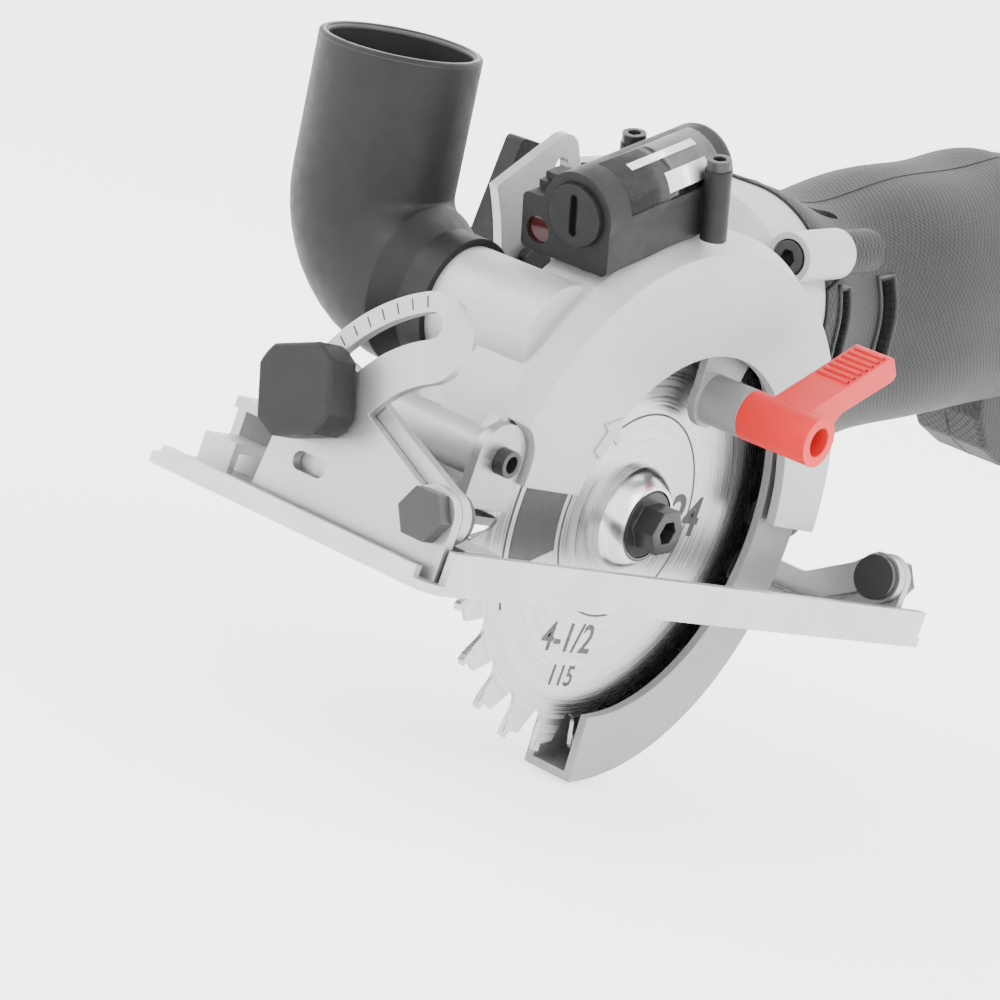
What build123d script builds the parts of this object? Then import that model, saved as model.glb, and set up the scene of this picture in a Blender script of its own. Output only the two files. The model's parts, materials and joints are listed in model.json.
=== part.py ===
"""Compact circular saw with a tilting, plunging head.

The sole of the base plate lies on Z = 0. Y runs along the cut, with the front at -Y.
X runs across it, with the blade on the +X side and the motor on the -X side.
Most head pieces are drawn in the head's own planes, whose origin is the middle of the
blade's outer face and which lean back by the head's pitch at full cutting depth.
"""
import os
from math import atan2, cos, degrees, hypot, pi, radians, sin

from build123d import *

# ---------------------------------------------------------------- driving sizes
BLADE_D = 115.0
BLADE_BORE = 9.5
PLATE_T = 1.1
KERF = 1.6
TEETH = 24
FIRST_TOOTH = 205.7

SOLE_L = 208.0
SOLE_W = 82.0
SHEET = 2.0
FAR_EDGE = -54.0          # far edge of the sole, from the blade's face
ARBOR_H = 15.5            # arbor above the sole at full depth
PITCH = 11.7              # lean of the head at full depth

RUN = 0.05                # radial clearance of a shaft in its hole
GAP = 0.3                 # clearance between faces that move past each other

ORIGIN_X = 42.5           # from the sole's reference point to the blade's face
ARBOR = Vector(ORIGIN_X, 0, ARBOR_H)

# bevel axis, along Y (from the blade's face and the arbor)
BEVEL_X, BEVEL_Z = 19.3, -1.4
BEVEL_R = 38.25           # radius of the clamping slot
BEVEL_AT = 159.2          # where the clamping bolt stands in the slot at 0 degrees
BEVEL_MAX = 45.0
FRONT_FACE = -100.0       # front face of the quadrant
REAR_FACE = 90.5          # rear face of the rear pivot bracket

# depth pivot, along X (from the arbor, in the upright frame of the sole)
DEPTH_Y, DEPTH_Z = -66.0, 9.5
DEPTH_R = 87.0            # radius of the depth slot
DEPTH_AT = 24.2           # where the depth bolt stands at full depth
DEPTH_MAX = 35.0
PIVOT_TUBE_R = 5.6
PIVOT_PIN_R = 3.0
PIVOT_X = (-27.0, 5.0)    # span of the pivot tube

# head: guards
GUARD_R = BLADE_D / 2 + 10.9
GUARD_WALL = 2.4
GUARD_BACK = -11.0
GUARD_FACE = 9.5
OPENING_R = 41.8
OPENING_Y = 5.0
GUARD_CUT = 5.0           # the upper guard ends this far above the arbor
LOWER_R = BLADE_D / 2 + 5.5
LOWER_WALL = 2.0

# dust outlet (in the head's planes)
CHUTE_Y, CHUTE_Z = -41.6, 44.6
CHUTE_R = 13.3
CHUTE_WALL = 2.0
CHUTE_X = (-36.0, 1.5)
ELBOW_X = -58.0
ELBOW_R = 18.3             # outside of the wide outlet
ELBOW_WALL = 2.0
ELBOW_TOP = 50.0          # rim above the chute's axis
ELBOW_BEND = 19.0         # radius of the bend's centre line
COLLAR_R = CHUTE_R + 1.7
COLLAR_END = -26.0

# drive (in the head's planes)
MOTOR_X = -45.0
LAY_X = -38.0
SPUR_M = 1.25
PINION_T, WHEEL_T = 11, 29
GEAR_CENTRES = SPUR_M * (PINION_T + WHEEL_T) / 2
MOTOR_Z = (GEAR_CENTRES ** 2 - (MOTOR_X - LAY_X) ** 2) ** 0.5     # above the layshaft
BEVEL_M = 1.0
BEVEL_PT, BEVEL_WT = 10, 20
SPUR_Y = (64.0, 72.0)
SPINDLE_R = 5.0
SHAFT_R = 4.0
JOINT_Y = 82.0            # face between the gear case and the motor housing

# housing sections: distance along the head, centre height, half width, half height
BARREL = [(82.0, 20.0, 33.0, 42.5), (98.0, 22.0, 31.0, 37.0), (120.0, 24.5, 29.0, 31.0),
          (142.0, 27.5, 31.5, 31.5), (166.0, 29.0, 32.4, 32.4), (190.0, 30.2, 32.4, 32.6),
          (214.0, 30.8, 31.4, 32.4)]
GRIP = [(214.0, 30.8, 31.4, 32.4), (232.0, 30.8, 28.5, 30.4), (252.0, 30.0, 23.5, 25.5),
        (286.0, 26.0, 20.0, 22.0), (322.0, 18.0, 21.5, 25.0), (336.0, 14.0, 19.0, 22.0)]
HOUSING_WALL = 2.6
SKIN = 1.2
CORNER = 0.85             # corner radius of a housing section, as a share of its half width

os.makedirs("parts", exist_ok=True)

# ---------------------------------------------------------------- planes
HEAD_Y = Vector(0, cos(radians(PITCH)), sin(radians(PITCH)))
HEAD_Z = Vector(0, -sin(radians(PITCH)), cos(radians(PITCH)))
X_DIR = Vector(1, 0, 0)


def head_point(x, y, z):
    return ARBOR + X_DIR * x + HEAD_Y * y + HEAD_Z * z


def side(x, y=0.0, z=0.0):
    """Head plane square to X: local x runs back along the head, local y up it."""
    return Plane(origin=head_point(x, y, z), x_dir=HEAD_Y, z_dir=X_DIR)


def cross(y, x=0.0, z=0.0):
    """Head plane square to the head's length: local x is X, local y up the head.
    Its normal points to the front."""
    return Plane(origin=head_point(x, y, z), x_dir=X_DIR, z_dir=HEAD_Y * -1)


def deck(z, x=0.0, y=0.0):
    """Head plane square to the head's height: local x is X, local y back along it."""
    return Plane(origin=head_point(x, y, z), x_dir=X_DIR, z_dir=HEAD_Z)


def base_side(x, y=0.0, z=0.0):
    """Upright plane square to X: local x is Y, local y is Z, from the arbor."""
    return Plane(origin=ARBOR + Vector(x, y, z), x_dir=(0, 1, 0), z_dir=(1, 0, 0))


def base_cross(y, x=0.0, z=0.0):
    """Upright plane square to Y, from the arbor; its normal points to the front."""
    return Plane(origin=ARBOR + Vector(x, y, z), x_dir=(1, 0, 0), z_dir=(0, -1, 0))


def base_top(z, x=0.0, y=0.0):
    return Plane(origin=ARBOR + Vector(x, y, z), x_dir=(1, 0, 0), z_dir=(0, 0, 1))


def polar(r, angle, cx=0.0, cy=0.0):
    return (cx + r * cos(radians(angle)), cy + r * sin(radians(angle)))


def to_head(y, z):
    """Upright (y, z) from the arbor, turned into the head's (y, z)."""
    c, s = cos(radians(PITCH)), sin(radians(PITCH))
    return (y * c + z * s, z * c - y * s)


def save(piece, name):
    piece.part.label = name
    export_step(piece.part, "parts/" + name + ".step")


def ring_sector(r_in, r_out, start, stop):
    """Sketch of a ring between two radii and two angles, about the plane's origin."""
    with BuildSketch(mode=Mode.PRIVATE) as shape:
        with BuildLine():
            CenterArc((0, 0), r_out, start, stop - start)
            CenterArc((0, 0), r_in, start, stop - start)
            Line(polar(r_in, start), polar(r_out, start))
            Line(polar(r_in, stop), polar(r_out, stop))
        make_face()
    return shape.sketch


def rod(plane, radius, length, bore=0.0):
    """Round bar, or a tube if it has a bore, along the plane's normal."""
    with BuildPart() as bar:
        with BuildSketch(plane):
            Circle(radius)
            if bore:
                Circle(bore, mode=Mode.SUBTRACT)
        extrude(amount=length)
    return bar.part


def hex_bar(plane, flats, length, bore=0.0):
    with BuildPart() as bar:
        with BuildSketch(plane):
            RegularPolygon(flats / 2, 6, major_radius=False)
            if bore:
                Circle(bore, mode=Mode.SUBTRACT)
        extrude(amount=length)
    return bar.part


DEPTH_HY, DEPTH_HZ = to_head(DEPTH_Y, DEPTH_Z)
PLATE_BACK = -(KERF + PLATE_T) / 2
TOP = -ARBOR_H + SHEET    # top of the sole sheet, from the arbor


# ---------------------------------------------------------------- shoe
SLOT_X = (-35.5, 15.0)
SLOT_Y = (-78.0, 74.0)
LIP_H = 4.5
SIDE_H = 9.0
BRIDGE_Y = -85.5
BRIDGE_W = 12.0
BRIDGE_H = 5.0


def make_base_plate():
    middle = FAR_EDGE + SOLE_W / 2
    with BuildPart() as plate:
        with BuildSketch(base_top(-ARBOR_H, middle)):
            RectangleRounded(SOLE_W, SOLE_L, 5)
        extrude(amount=SHEET)
        # front and rear lips, the tall rib beside the blade and the low one on the far side
        for y in (-SOLE_L / 2 + SHEET / 2, SOLE_L / 2 - SHEET / 2):
            with BuildSketch(base_top(TOP, middle, y)):
                Rectangle(SOLE_W - 10, SHEET)
            extrude(amount=LIP_H - SHEET)
        with BuildSketch(base_top(TOP, FAR_EDGE + SOLE_W - SHEET / 2)):
            Rectangle(SHEET, SOLE_L - 10)
        extrude(amount=SIDE_H - SHEET)
        with BuildSketch(base_top(TOP, FAR_EDGE + SHEET / 2)):
            Rectangle(SHEET, SOLE_L - 10)
        extrude(amount=LIP_H - SHEET - 3.0)
        # bridges that guide the rip fence bar
        for x in (-45.0, 20.0):
            with BuildSketch(base_top(TOP, x, BRIDGE_Y)):
                Rectangle(9, BRIDGE_W)
            extrude(amount=BRIDGE_H + SHEET)
            with BuildSketch(base_top(TOP, x, BRIDGE_Y)):
                Rectangle(9, BRIDGE_W - 2 * SHEET)
            extrude(amount=BRIDGE_H, mode=Mode.SUBTRACT)
        # slot for the blade and its guard
        with BuildSketch(base_top(-ARBOR_H, sum(SLOT_X) / 2, sum(SLOT_Y) / 2)):
            RectangleRounded(SLOT_X[1] - SLOT_X[0], SLOT_Y[1] - SLOT_Y[0], 4)
        extrude(amount=SHEET, mode=Mode.SUBTRACT)
    save(plate, "base_plate")



QUAD_IN, QUAD_OUT = 26.4, 45.3
QUAD_SPAN = (114.0, 172.0)
BRACKET_T = 2.5
BEVEL_BOLT_R = 2.5
BEVEL_SLOT_R = 2.8
PIN_R = 3.5
RIVET_R = 2.0
BOSS_R = 6.2
FOOT = 8.0
RIVET_ROW = (FOOT + BRACKET_T) / 2      # rivets sit in the middle of the foot's free width


def make_bevel_quadrant():
    """Upright sheet at the front: a ring with the bevel slot, and a web down to a foot."""
    pivot = base_cross(FRONT_FACE + BRACKET_T, BEVEL_X, BEVEL_Z)
    low = TOP - BEVEL_Z
    with BuildPart() as quadrant:
        with BuildSketch(pivot):
            add(ring_sector(QUAD_IN, QUAD_OUT, *QUAD_SPAN))
            with Locations(polar((QUAD_IN + QUAD_OUT) / 2, QUAD_SPAN[0])):
                Circle((QUAD_OUT - QUAD_IN) / 2)
            Circle(BOSS_R)
            with BuildLine():
                Polyline((-46, low), (6, low), (BOSS_R, 0), (-5, 5), (-24, 14), (-43, 14), (-46, low))
            make_face()
            Circle(PIN_R + RUN, mode=Mode.SUBTRACT)
            low_slot = BEVEL_AT - BEVEL_MAX - 1
            add(ring_sector(BEVEL_R - BEVEL_SLOT_R, BEVEL_R + BEVEL_SLOT_R, low_slot, BEVEL_AT + 1),
                mode=Mode.SUBTRACT)
            for angle in (low_slot, BEVEL_AT + 1):
                with Locations(polar(BEVEL_R, angle)):
                    Circle(BEVEL_SLOT_R, mode=Mode.SUBTRACT)
            with Locations((-33, -1)):
                SlotOverall(9, 4, mode=Mode.SUBTRACT)
        extrude(amount=BRACKET_T)
        # foot that lies on the sole sheet, drilled for its rivets
        with BuildSketch(base_top(TOP, BEVEL_X - 19.5, FRONT_FACE + FOOT / 2)):
            Rectangle(48, FOOT)
            with Locations((-20, RIVET_ROW - FOOT / 2), (20, RIVET_ROW - FOOT / 2)):
                Circle(RIVET_R, mode=Mode.SUBTRACT)
        extrude(amount=SHEET)
    save(quadrant, "bevel_quadrant")


def make_rear_pivot_bracket():
    pivot = base_cross(REAR_FACE, BEVEL_X, BEVEL_Z)
    low = TOP - BEVEL_Z
    with BuildPart() as bracket:
        with BuildSketch(pivot):
            Circle(BOSS_R)
            with BuildLine():
                Polyline((-11, low), (6, low), (BOSS_R, 0), (-BOSS_R, 0), (-11, low))
            make_face()
            Circle(PIN_R + RUN, mode=Mode.SUBTRACT)
        extrude(amount=BRACKET_T)
        with BuildSketch(base_top(TOP, BEVEL_X - 3.5, REAR_FACE + FOOT / 2)):
            Rectangle(17, FOOT)
            with Locations((-5.5, 0), (5.5, 0)):
                Circle(RIVET_R, mode=Mode.SUBTRACT)
        extrude(amount=SHEET)
    save(bracket, "rear_pivot_bracket")


def make_bracket_rivets():
    rivets = []
    spots = [(BEVEL_X - 19.5 + d, FRONT_FACE + RIVET_ROW) for d in (-20, 20)]
    spots += [(BEVEL_X - 3.5 + d, REAR_FACE + FOOT / 2) for d in (-5.5, 5.5)]
    for x, y in spots:
        with BuildPart() as rivet:
            with BuildSketch(base_top(TOP, x, y)):
                Circle(RIVET_R)
            extrude(amount=SHEET)
            with BuildSketch(base_top(TOP + SHEET, x, y)):
                Circle(RIVET_R * 1.3)
            extrude(amount=0.8)
            fillet(rivet.edges().group_by(Axis.Z)[-1], 0.5)
        rivets.append(rivet.part)
    with BuildPart() as group:
        add(rivets)
    save(group, "bracket_rivets")


# ---------------------------------------------------------------- tilt frame
FRAME_FRONT = FRONT_FACE + BRACKET_T + GAP
RAIL_T = 2.5
RAIL_Z = TOP + GAP
RAIL_X = (-54.0, -48.6)
RAIL_START = -78.0
EAR_T = 2.4
EAR_R = 8.0
SHELF = DEPTH_Z - EAR_R - 0.5   # top of the shelf behind the front plate
UPRIGHT_X = (-64.0, -61.3)
PLATE_X = (-61.0, -58.5)
DEPTH_BOLT_R = 3.0
REAR_PLATE = REAR_FACE - BRACKET_T - GAP      # rear face of the frame's rear plate
DEPTH_BOLT = (DEPTH_Y + DEPTH_R * cos(radians(DEPTH_AT)), DEPTH_Z + DEPTH_R * sin(radians(DEPTH_AT)))


def make_tilt_frame():
    front = base_cross(FRAME_FRONT + 3.0, BEVEL_X, BEVEL_Z)
    low = RAIL_Z - BEVEL_Z
    far = RAIL_X[0] - BEVEL_X
    near_ear = PIVOT_X[1] + GAP
    far_ear = PIVOT_X[0] - GAP - EAR_T
    bolt_x, bolt_z = polar(BEVEL_R, BEVEL_AT)
    with BuildPart() as frame:
        # front plate: pivot boss, clamping bolt boss and the corner that carries the rail
        with BuildSketch(front):
            Circle(BOSS_R)
            with Locations((bolt_x, bolt_z)):
                Circle(8)
            with BuildLine():
                Polyline((bolt_x - 8, -8.6), (-12, -8.6), (-2, -5.8), (3, 5.4), (bolt_x + 4, bolt_z + 6.9),
                         (bolt_x - 8, bolt_z), (bolt_x - 8, -8.6))
            make_face()
            Circle(PIN_R + RUN, mode=Mode.SUBTRACT)
            with Locations((bolt_x, bolt_z)):
                Circle(BEVEL_BOLT_R, mode=Mode.SUBTRACT)
        extrude(amount=3.0)
        # shelf back to the depth pivot's fork
        with BuildSketch(base_top(SHELF, (near_ear + far_ear + EAR_T) / 2, -78)):
            Rectangle(near_ear - far_ear - 2, 36)
        extrude(amount=-RAIL_T)
        for x in (-24.0, -4.0):
            with BuildSketch(base_side(x)):
                with BuildLine():
                    Polyline((FRAME_FRONT + 2, -9), (FRAME_FRONT + 2, DEPTH_Z), (-76, DEPTH_Z - EAR_R - 1),
                             (-62, DEPTH_Z - EAR_R - 1), (-62, DEPTH_Z - EAR_R - 3), (FRAME_FRONT + 2, -9))
                make_face()
            extrude(amount=2.4)
        with BuildSketch(base_top(SHELF, (far_ear + near_ear + EAR_T) / 2, DEPTH_Y)):
            Rectangle(near_ear - far_ear + EAR_T, 2 * EAR_R)
        extrude(amount=-RAIL_T)
        for x in (far_ear, near_ear):
            with BuildSketch(base_side(x, DEPTH_Y, DEPTH_Z)):
                Circle(EAR_R)
                with Locations((0, -EAR_R / 2 - 1.5)):
                    Rectangle(2 * EAR_R, EAR_R + 3)
                Circle(PIVOT_PIN_R, mode=Mode.SUBTRACT)
            extrude(amount=EAR_T)
        with BuildSketch(base_top(SHELF, (RAIL_X[0] + far_ear) / 2, (RAIL_START - 58) / 2)):
            Rectangle(far_ear - RAIL_X[0] + EAR_T, -58 - RAIL_START)
        extrude(amount=-RAIL_T)
        # rail along the far side, an L at the front half and a strap behind
        with BuildSketch(base_top(RAIL_Z, sum(RAIL_X) / 2)):
            with BuildLine():
                w = (RAIL_X[1] - RAIL_X[0]) / 2
                Polyline((-w, RAIL_START), (w, RAIL_START), (w, REAR_PLATE), (-w, REAR_PLATE),
                         (-w, RAIL_START))
            make_face()
        extrude(amount=RAIL_T)
        with BuildSketch(base_side(RAIL_X[0])):
            with BuildLine():
                Polyline((RAIL_START, RAIL_Z), (40, RAIL_Z), (34, RAIL_Z + 9), (-58, RAIL_Z + 11),
                         (-58, SHELF), (RAIL_START, SHELF), (RAIL_START, RAIL_Z))
            make_face()
        extrude(amount=RAIL_T)
        # rear plate across to the rear pivot
        with BuildSketch(base_cross(REAR_PLATE, BEVEL_X, BEVEL_Z)):
            Circle(BOSS_R)
            with BuildLine():
                Polyline((far, low), (-16, low), (-4, -5.1), (-2, 6.1), (-8, 1), (-20, -5.9), (far, -5.9),
                         (far, low))
            make_face()
            Circle(PIN_R + RUN, mode=Mode.SUBTRACT)
        extrude(amount=RAIL_T)
        # foot and upright that carry the depth bolt, outside the depth plate
        foot_y = (-8.0, 4.0)
        with BuildSketch(base_top(RAIL_Z, (UPRIGHT_X[0] + RAIL_X[1]) / 2, sum(foot_y) / 2)):
            Rectangle(RAIL_X[1] - UPRIGHT_X[0], foot_y[1] - foot_y[0])
        extrude(amount=RAIL_T)
        by, bz = DEPTH_BOLT
        with BuildSketch(base_side(UPRIGHT_X[0])):
            with BuildLine():
                Polyline((foot_y[0], RAIL_Z), (foot_y[1], RAIL_Z), (by + 7, bz - 2), (by - 7, bz + 2),
                         (foot_y[0], RAIL_Z + 8), (foot_y[0], RAIL_Z))
            make_face()
            with Locations((by, bz)):
                Circle(7.2)
                Circle(DEPTH_BOLT_R, mode=Mode.SUBTRACT)
        extrude(amount=UPRIGHT_X[1] - UPRIGHT_X[0])
    save(frame, "tilt_frame")


def make_bevel_pivot_pins():
    """Shouldered pins that the frame tilts on, front and rear; each has a hexagon head."""
    pins = []
    front_back = FRAME_FRONT + 3.0 + 1.0
    reach = front_back - FRONT_FACE
    with BuildPart() as front_pin:
        add(rod(base_cross(front_back, BEVEL_X, BEVEL_Z), PIN_R, reach))
        add(rod(base_cross(front_back + 1.2, BEVEL_X, BEVEL_Z), PIN_R + 2, 1.2))
        add(hex_bar(base_cross(FRONT_FACE - 0.1, BEVEL_X, BEVEL_Z), 10, 3.5))
        add(rod(base_cross(FRONT_FACE, BEVEL_X, BEVEL_Z), PIN_R, 0.2))
    pins.append(front_pin.part)
    rear_front = REAR_PLATE - RAIL_T - 1.0
    with BuildPart() as rear_pin:
        add(rod(base_cross(REAR_FACE, BEVEL_X, BEVEL_Z), PIN_R, REAR_FACE - rear_front))
        add(rod(base_cross(rear_front, BEVEL_X, BEVEL_Z), PIN_R + 2, 1.2))
        add(hex_bar(base_cross(REAR_FACE + 3.6, BEVEL_X, BEVEL_Z), 10, 3.5))
        add(rod(base_cross(REAR_FACE + 0.2, BEVEL_X, BEVEL_Z), PIN_R, 0.3))
    pins.append(rear_pin.part)
    with BuildPart() as group:
        add(pins)
    save(group, "bevel_pivot_pins")


KNOB_R = 11.0
KNOB_T = 8.2
KNOB_BACK = FRONT_FACE - 1.4


def bevel_bolt_spot():
    x, z = polar(BEVEL_R, BEVEL_AT)
    return BEVEL_X + x, BEVEL_Z + z


def make_bevel_bolt():
    x, z = bevel_bolt_spot()
    back = FRAME_FRONT + 3.0
    with BuildPart() as bolt:
        add(rod(base_cross(back, x, z), BEVEL_BOLT_R, back - KNOB_BACK + KNOB_T - 3))
        add(hex_bar(base_cross(back + 3, x, z), 8, 3))
    save(bolt, "bevel_bolt")


def make_bevel_knob():
    """Round clamping knob with three flats, a collar behind it and a domed face."""
    x, z = bevel_bolt_spot()
    with BuildPart() as knob:
        with BuildSketch(base_cross(KNOB_BACK, x, z)):
            Circle(KNOB_R)
            for k in range(4):
                with Locations(Rot(0, 0, 20 + 90 * k) * Pos(KNOB_R * 1.36, 0)):
                    Rectangle(KNOB_R, KNOB_R * 1.2, mode=Mode.SUBTRACT)
        extrude(amount=KNOB_T)
        fillet(knob.faces().sort_by(Axis.Y)[0].edges(), 1.0)
        with BuildSketch(base_cross(FRONT_FACE - GAP, x, z)):
            Circle(6.5)
        extrude(amount=1.4)
        with BuildSketch(base_cross(FRONT_FACE - GAP, x, z)):
            Circle(BEVEL_BOLT_R + RUN)
        extrude(amount=KNOB_T - 1, mode=Mode.SUBTRACT)
    save(knob, "bevel_knob")


def make_depth_pivot_pin():
    near = PIVOT_X[1] + GAP + EAR_T
    far = PIVOT_X[0] - GAP - EAR_T
    with BuildPart() as pin:
        add(rod(base_side(far - 2.0, DEPTH_Y, DEPTH_Z), PIVOT_PIN_R, near - far + 5.0))
        add(rod(base_side(far - 3.5, DEPTH_Y, DEPTH_Z), PIVOT_PIN_R + 1.8, 2.4))
        with BuildSketch(base_side(near + 3.0, DEPTH_Y, DEPTH_Z)):
            Circle(1.9)
        extrude(amount=-4, mode=Mode.SUBTRACT)
    save(pin, "depth_pivot_pin")


DEPTH_KNOB_X = (-75.0, -64.3)


def make_depth_bolt():
    plane_x = PLATE_X[1] + 0.2
    with BuildPart() as bolt:
        add(rod(base_side(DEPTH_KNOB_X[0] + 2, *DEPTH_BOLT), DEPTH_BOLT_R, plane_x - DEPTH_KNOB_X[0] - 2))
        add(hex_bar(base_side(plane_x, *DEPTH_BOLT), 9, 2.2))
    save(bolt, "depth_bolt")


def make_depth_knob():
    """Clamping lever on the far side: a round hub and a short blade for the thumb."""
    hub_x = DEPTH_KNOB_X[1] - 6.0
    with BuildPart() as lever:
        with BuildSketch(base_side(hub_x, *DEPTH_BOLT)):
            Circle(7.5)
        extrude(amount=6.0)
        with BuildSketch(base_side(DEPTH_KNOB_X[0] + 1, *DEPTH_BOLT)):
            Circle(6)
            with BuildLine():
                Polyline((-5.5, -2), (-5.5, 4), (-4, 26), (4, 26), (5.5, 4), (5.5, -2), (-5.5, -2))
            make_face()
        extrude(amount=5.0)
        fillet(lever.edges().filter_by(Axis.X), 1.5)
        with BuildSketch(base_side(DEPTH_KNOB_X[0] + 1.8, *DEPTH_BOLT)):
            Circle(DEPTH_BOLT_R + RUN)
        extrude(amount=10, mode=Mode.SUBTRACT)
    save(lever, "depth_lock_lever")



# ---------------------------------------------------------------- head: castings
NOSE_R = 13.0             # round nose of the gear case behind the blade
NOSE_END = -5.4
CASE_WALL = 2.6
CASE_BOTTOM = -12.6
GUARD_BOLT_R = 17.6
SCREW_R = 1.6
INNER_FACE = 5.6          # inside of the upper guard's rim, towards its near face
CHUTE_MOUTH = (16.0, 14.0)
# gear case sections: distance along the head, then its X and Z limits and corner radius
CASE = [(10.0, -47.0, GUARD_BACK, CASE_BOTTOM, 24.0, 9.0),
        (48.0, -56.5, GUARD_BACK - 1.0, -16.5, 48.0, 14.0),
        (66.0, -78.0, -12.0, -22.5, 62.5, 28.0)]
BELL_SCREWS = [(31.5, 53.5), (-31.5, 53.5), (26.5, -18.0), (-26.0, -14.0)]
BEARING_R, BEARING_W = 9.5, 6.0
BUSH_R = 7.5
BUSH_X = (-26.0, -20.0)
BEARING_X = -16.0
LAY_BEARING_R, LAY_BEARING_W = 8.0, 5.0
LAY_FRONT_Y, LAY_REAR_Y = 16.0, 76.0
MOTOR_BEARING_R, MOTOR_BEARING_W = 11.0, 7.0
MOTOR_FRONT_Y, MOTOR_REAR_Y = 77.0, 196.0
REAR_BEARING_R, REAR_BEARING_W = 9.5, 6.0
PLATE_SCREWS = [(30.0, 38.0), (33.6, 0.8)]     # depth plate screws, upright (Y, Z)
LASER_POSTS = [(-14.0, -9.0), (2.0, 8.5)]


def make_upper_guard():
    """Casting over the blade with the dust chute, its web and the depth pivot's tube."""
    inside = GUARD_BACK + GUARD_WALL
    mid_y, mid_z = (CHUTE_Y + DEPTH_HY) / 2, (CHUTE_Z + DEPTH_HZ) / 2
    web_turn = degrees(atan2(CHUTE_Z - DEPTH_HZ, CHUTE_Y - DEPTH_HY))
    web_long = hypot(CHUTE_Z - DEPTH_HZ, CHUTE_Y - DEPTH_HY)
    with BuildPart() as guard:
        with BuildSketch(base_side(GUARD_BACK)):
            Circle(GUARD_R)
            with Locations((0, GUARD_CUT - GUARD_R)):
                Rectangle(3 * GUARD_R, 2 * GUARD_R, mode=Mode.SUBTRACT)
        extrude(amount=GUARD_FACE - GUARD_BACK)
        rim = guard.edges().filter_by(GeomType.CIRCLE).sort_by(Axis.X)[-1]
        chamfer(rim, 3.4, 6.0, reference=guard.faces().sort_by(Axis.X)[-1])
        # back lobe that bolts to the gear case's nose
        with BuildSketch(base_side(GUARD_BACK)):
            Circle(GUARD_BOLT_R + 5.0)
        extrude(amount=GUARD_WALL)
        # dust chute across the front of the guard, closed and rounded at its near end
        with BuildSketch(side(CHUTE_X[0], CHUTE_Y, CHUTE_Z)):
            Circle(CHUTE_R)
        extrude(amount=CHUTE_X[1] - CHUTE_X[0])
        # web from the chute down to the pivot tube, with a rib down each side
        for x0, x1, thick in ((-24.0, -21.0, 9.0), (-24.0, 4.0, 4.0), (1.0, 4.0, 9.0)):
            with BuildSketch(side(x0)):
                with Locations(Location((mid_y, mid_z), web_turn)):
                    Rectangle(web_long, thick)
            extrude(amount=x1 - x0)
        with BuildSketch(base_side(PIVOT_X[0], DEPTH_Y, DEPTH_Z)):
            Circle(PIVOT_TUBE_R)
        extrude(amount=PIVOT_X[1] - PIVOT_X[0])
        # hollow for the blade and the lower guard
        for x1, r in ((INNER_FACE, GUARD_R - GUARD_WALL), (GUARD_FACE - GUARD_WALL, GUARD_R - 7.5)):
            with BuildSketch(base_side(inside)):
                Circle(r)
                with Locations((0, GUARD_CUT - GUARD_R)):
                    Rectangle(3 * GUARD_R, 2 * GUARD_R, mode=Mode.SUBTRACT)
            extrude(amount=x1 - inside, mode=Mode.SUBTRACT)
        with BuildSketch(base_side(inside)):
            Circle(GUARD_BOLT_R + 6.0)
        extrude(amount=20, mode=Mode.SUBTRACT)
        with BuildSketch(base_side(INNER_FACE, OPENING_Y)):
            Circle(OPENING_R)
        extrude(amount=10, mode=Mode.SUBTRACT)
        # room for the fork's near ear and the pin's end
        with BuildSketch(base_side(PIVOT_X[1], DEPTH_Y, DEPTH_Z)):
            Circle(EAR_R + 0.8)
            with Locations((0, -EAR_R)):
                Rectangle(2 * EAR_R + 1.6, 2 * EAR_R)
        extrude(amount=12, mode=Mode.SUBTRACT)
        # bores: the depth pin, the chute, and the chute's way in from the guard
        with BuildSketch(base_side(PIVOT_X[0] - 1, DEPTH_Y, DEPTH_Z)):
            Circle(PIVOT_PIN_R + RUN)
        extrude(amount=PIVOT_X[1] - PIVOT_X[0] + 2, mode=Mode.SUBTRACT)
        with BuildSketch(side(CHUTE_X[0] - 1, CHUTE_Y, CHUTE_Z)):
            Circle(CHUTE_R - CHUTE_WALL)
        extrude(amount=CHUTE_X[1] - CHUTE_X[0] - 1, mode=Mode.SUBTRACT)
        mouth = (CHUTE_Y * 0.95, CHUTE_Z * 0.95)
        with BuildSketch(side(inside + 2)):
            with Locations(Location(mouth, degrees(atan2(CHUTE_Z, CHUTE_Y)))):
                Rectangle(CHUTE_MOUTH[0], CHUTE_MOUTH[1])
        extrude(amount=CHUTE_X[1] - inside - 5, mode=Mode.SUBTRACT)
        with BuildSketch(base_side(GUARD_BACK - 1)):
            Circle(NOSE_R + 0.02)
            with PolarLocations(GUARD_BOLT_R, 3, start_angle=30):
                Circle(SCREW_R)
        extrude(amount=GUARD_WALL + 2, mode=Mode.SUBTRACT)
    save(guard, "upper_guard")


def case_body(inset):
    """Gear case outline, or its hollow when inset, from the spindle to the motor joint."""
    slices = []
    for y, x0, x1, z0, z1, r in CASE:
        with BuildSketch(cross(y, (x0 + x1) / 2, (z0 + z1) / 2), mode=Mode.PRIVATE) as outline:
            RectangleRounded(x1 - x0 - 2 * inset, z1 - z0 - 2 * inset, r - inset)
        slices.append(outline.sketch)
    past = 1.0 if inset else 0.0
    with BuildPart() as body:
        extrude(slices[0], amount=CASE[0][0] - CASE_BOTTOM - inset)
        for first, second in zip(slices, slices[1:]):
            loft([first, second], ruled=True)
        extrude(slices[-1], amount=CASE[-1][0] - JOINT_Y - past)
        # the front is rounded about the spindle
        round_r = -CASE_BOTTOM - inset
        with BuildSketch(side(CASE[0][1] - 1)):
            with Locations((-round_r, -round_r)):
                Rectangle(2 * round_r, 2 * round_r)
            Circle(round_r, mode=Mode.SUBTRACT)
        extrude(amount=CASE[0][2] - CASE[0][1] + 2, mode=Mode.SUBTRACT)
    return body.part


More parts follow.
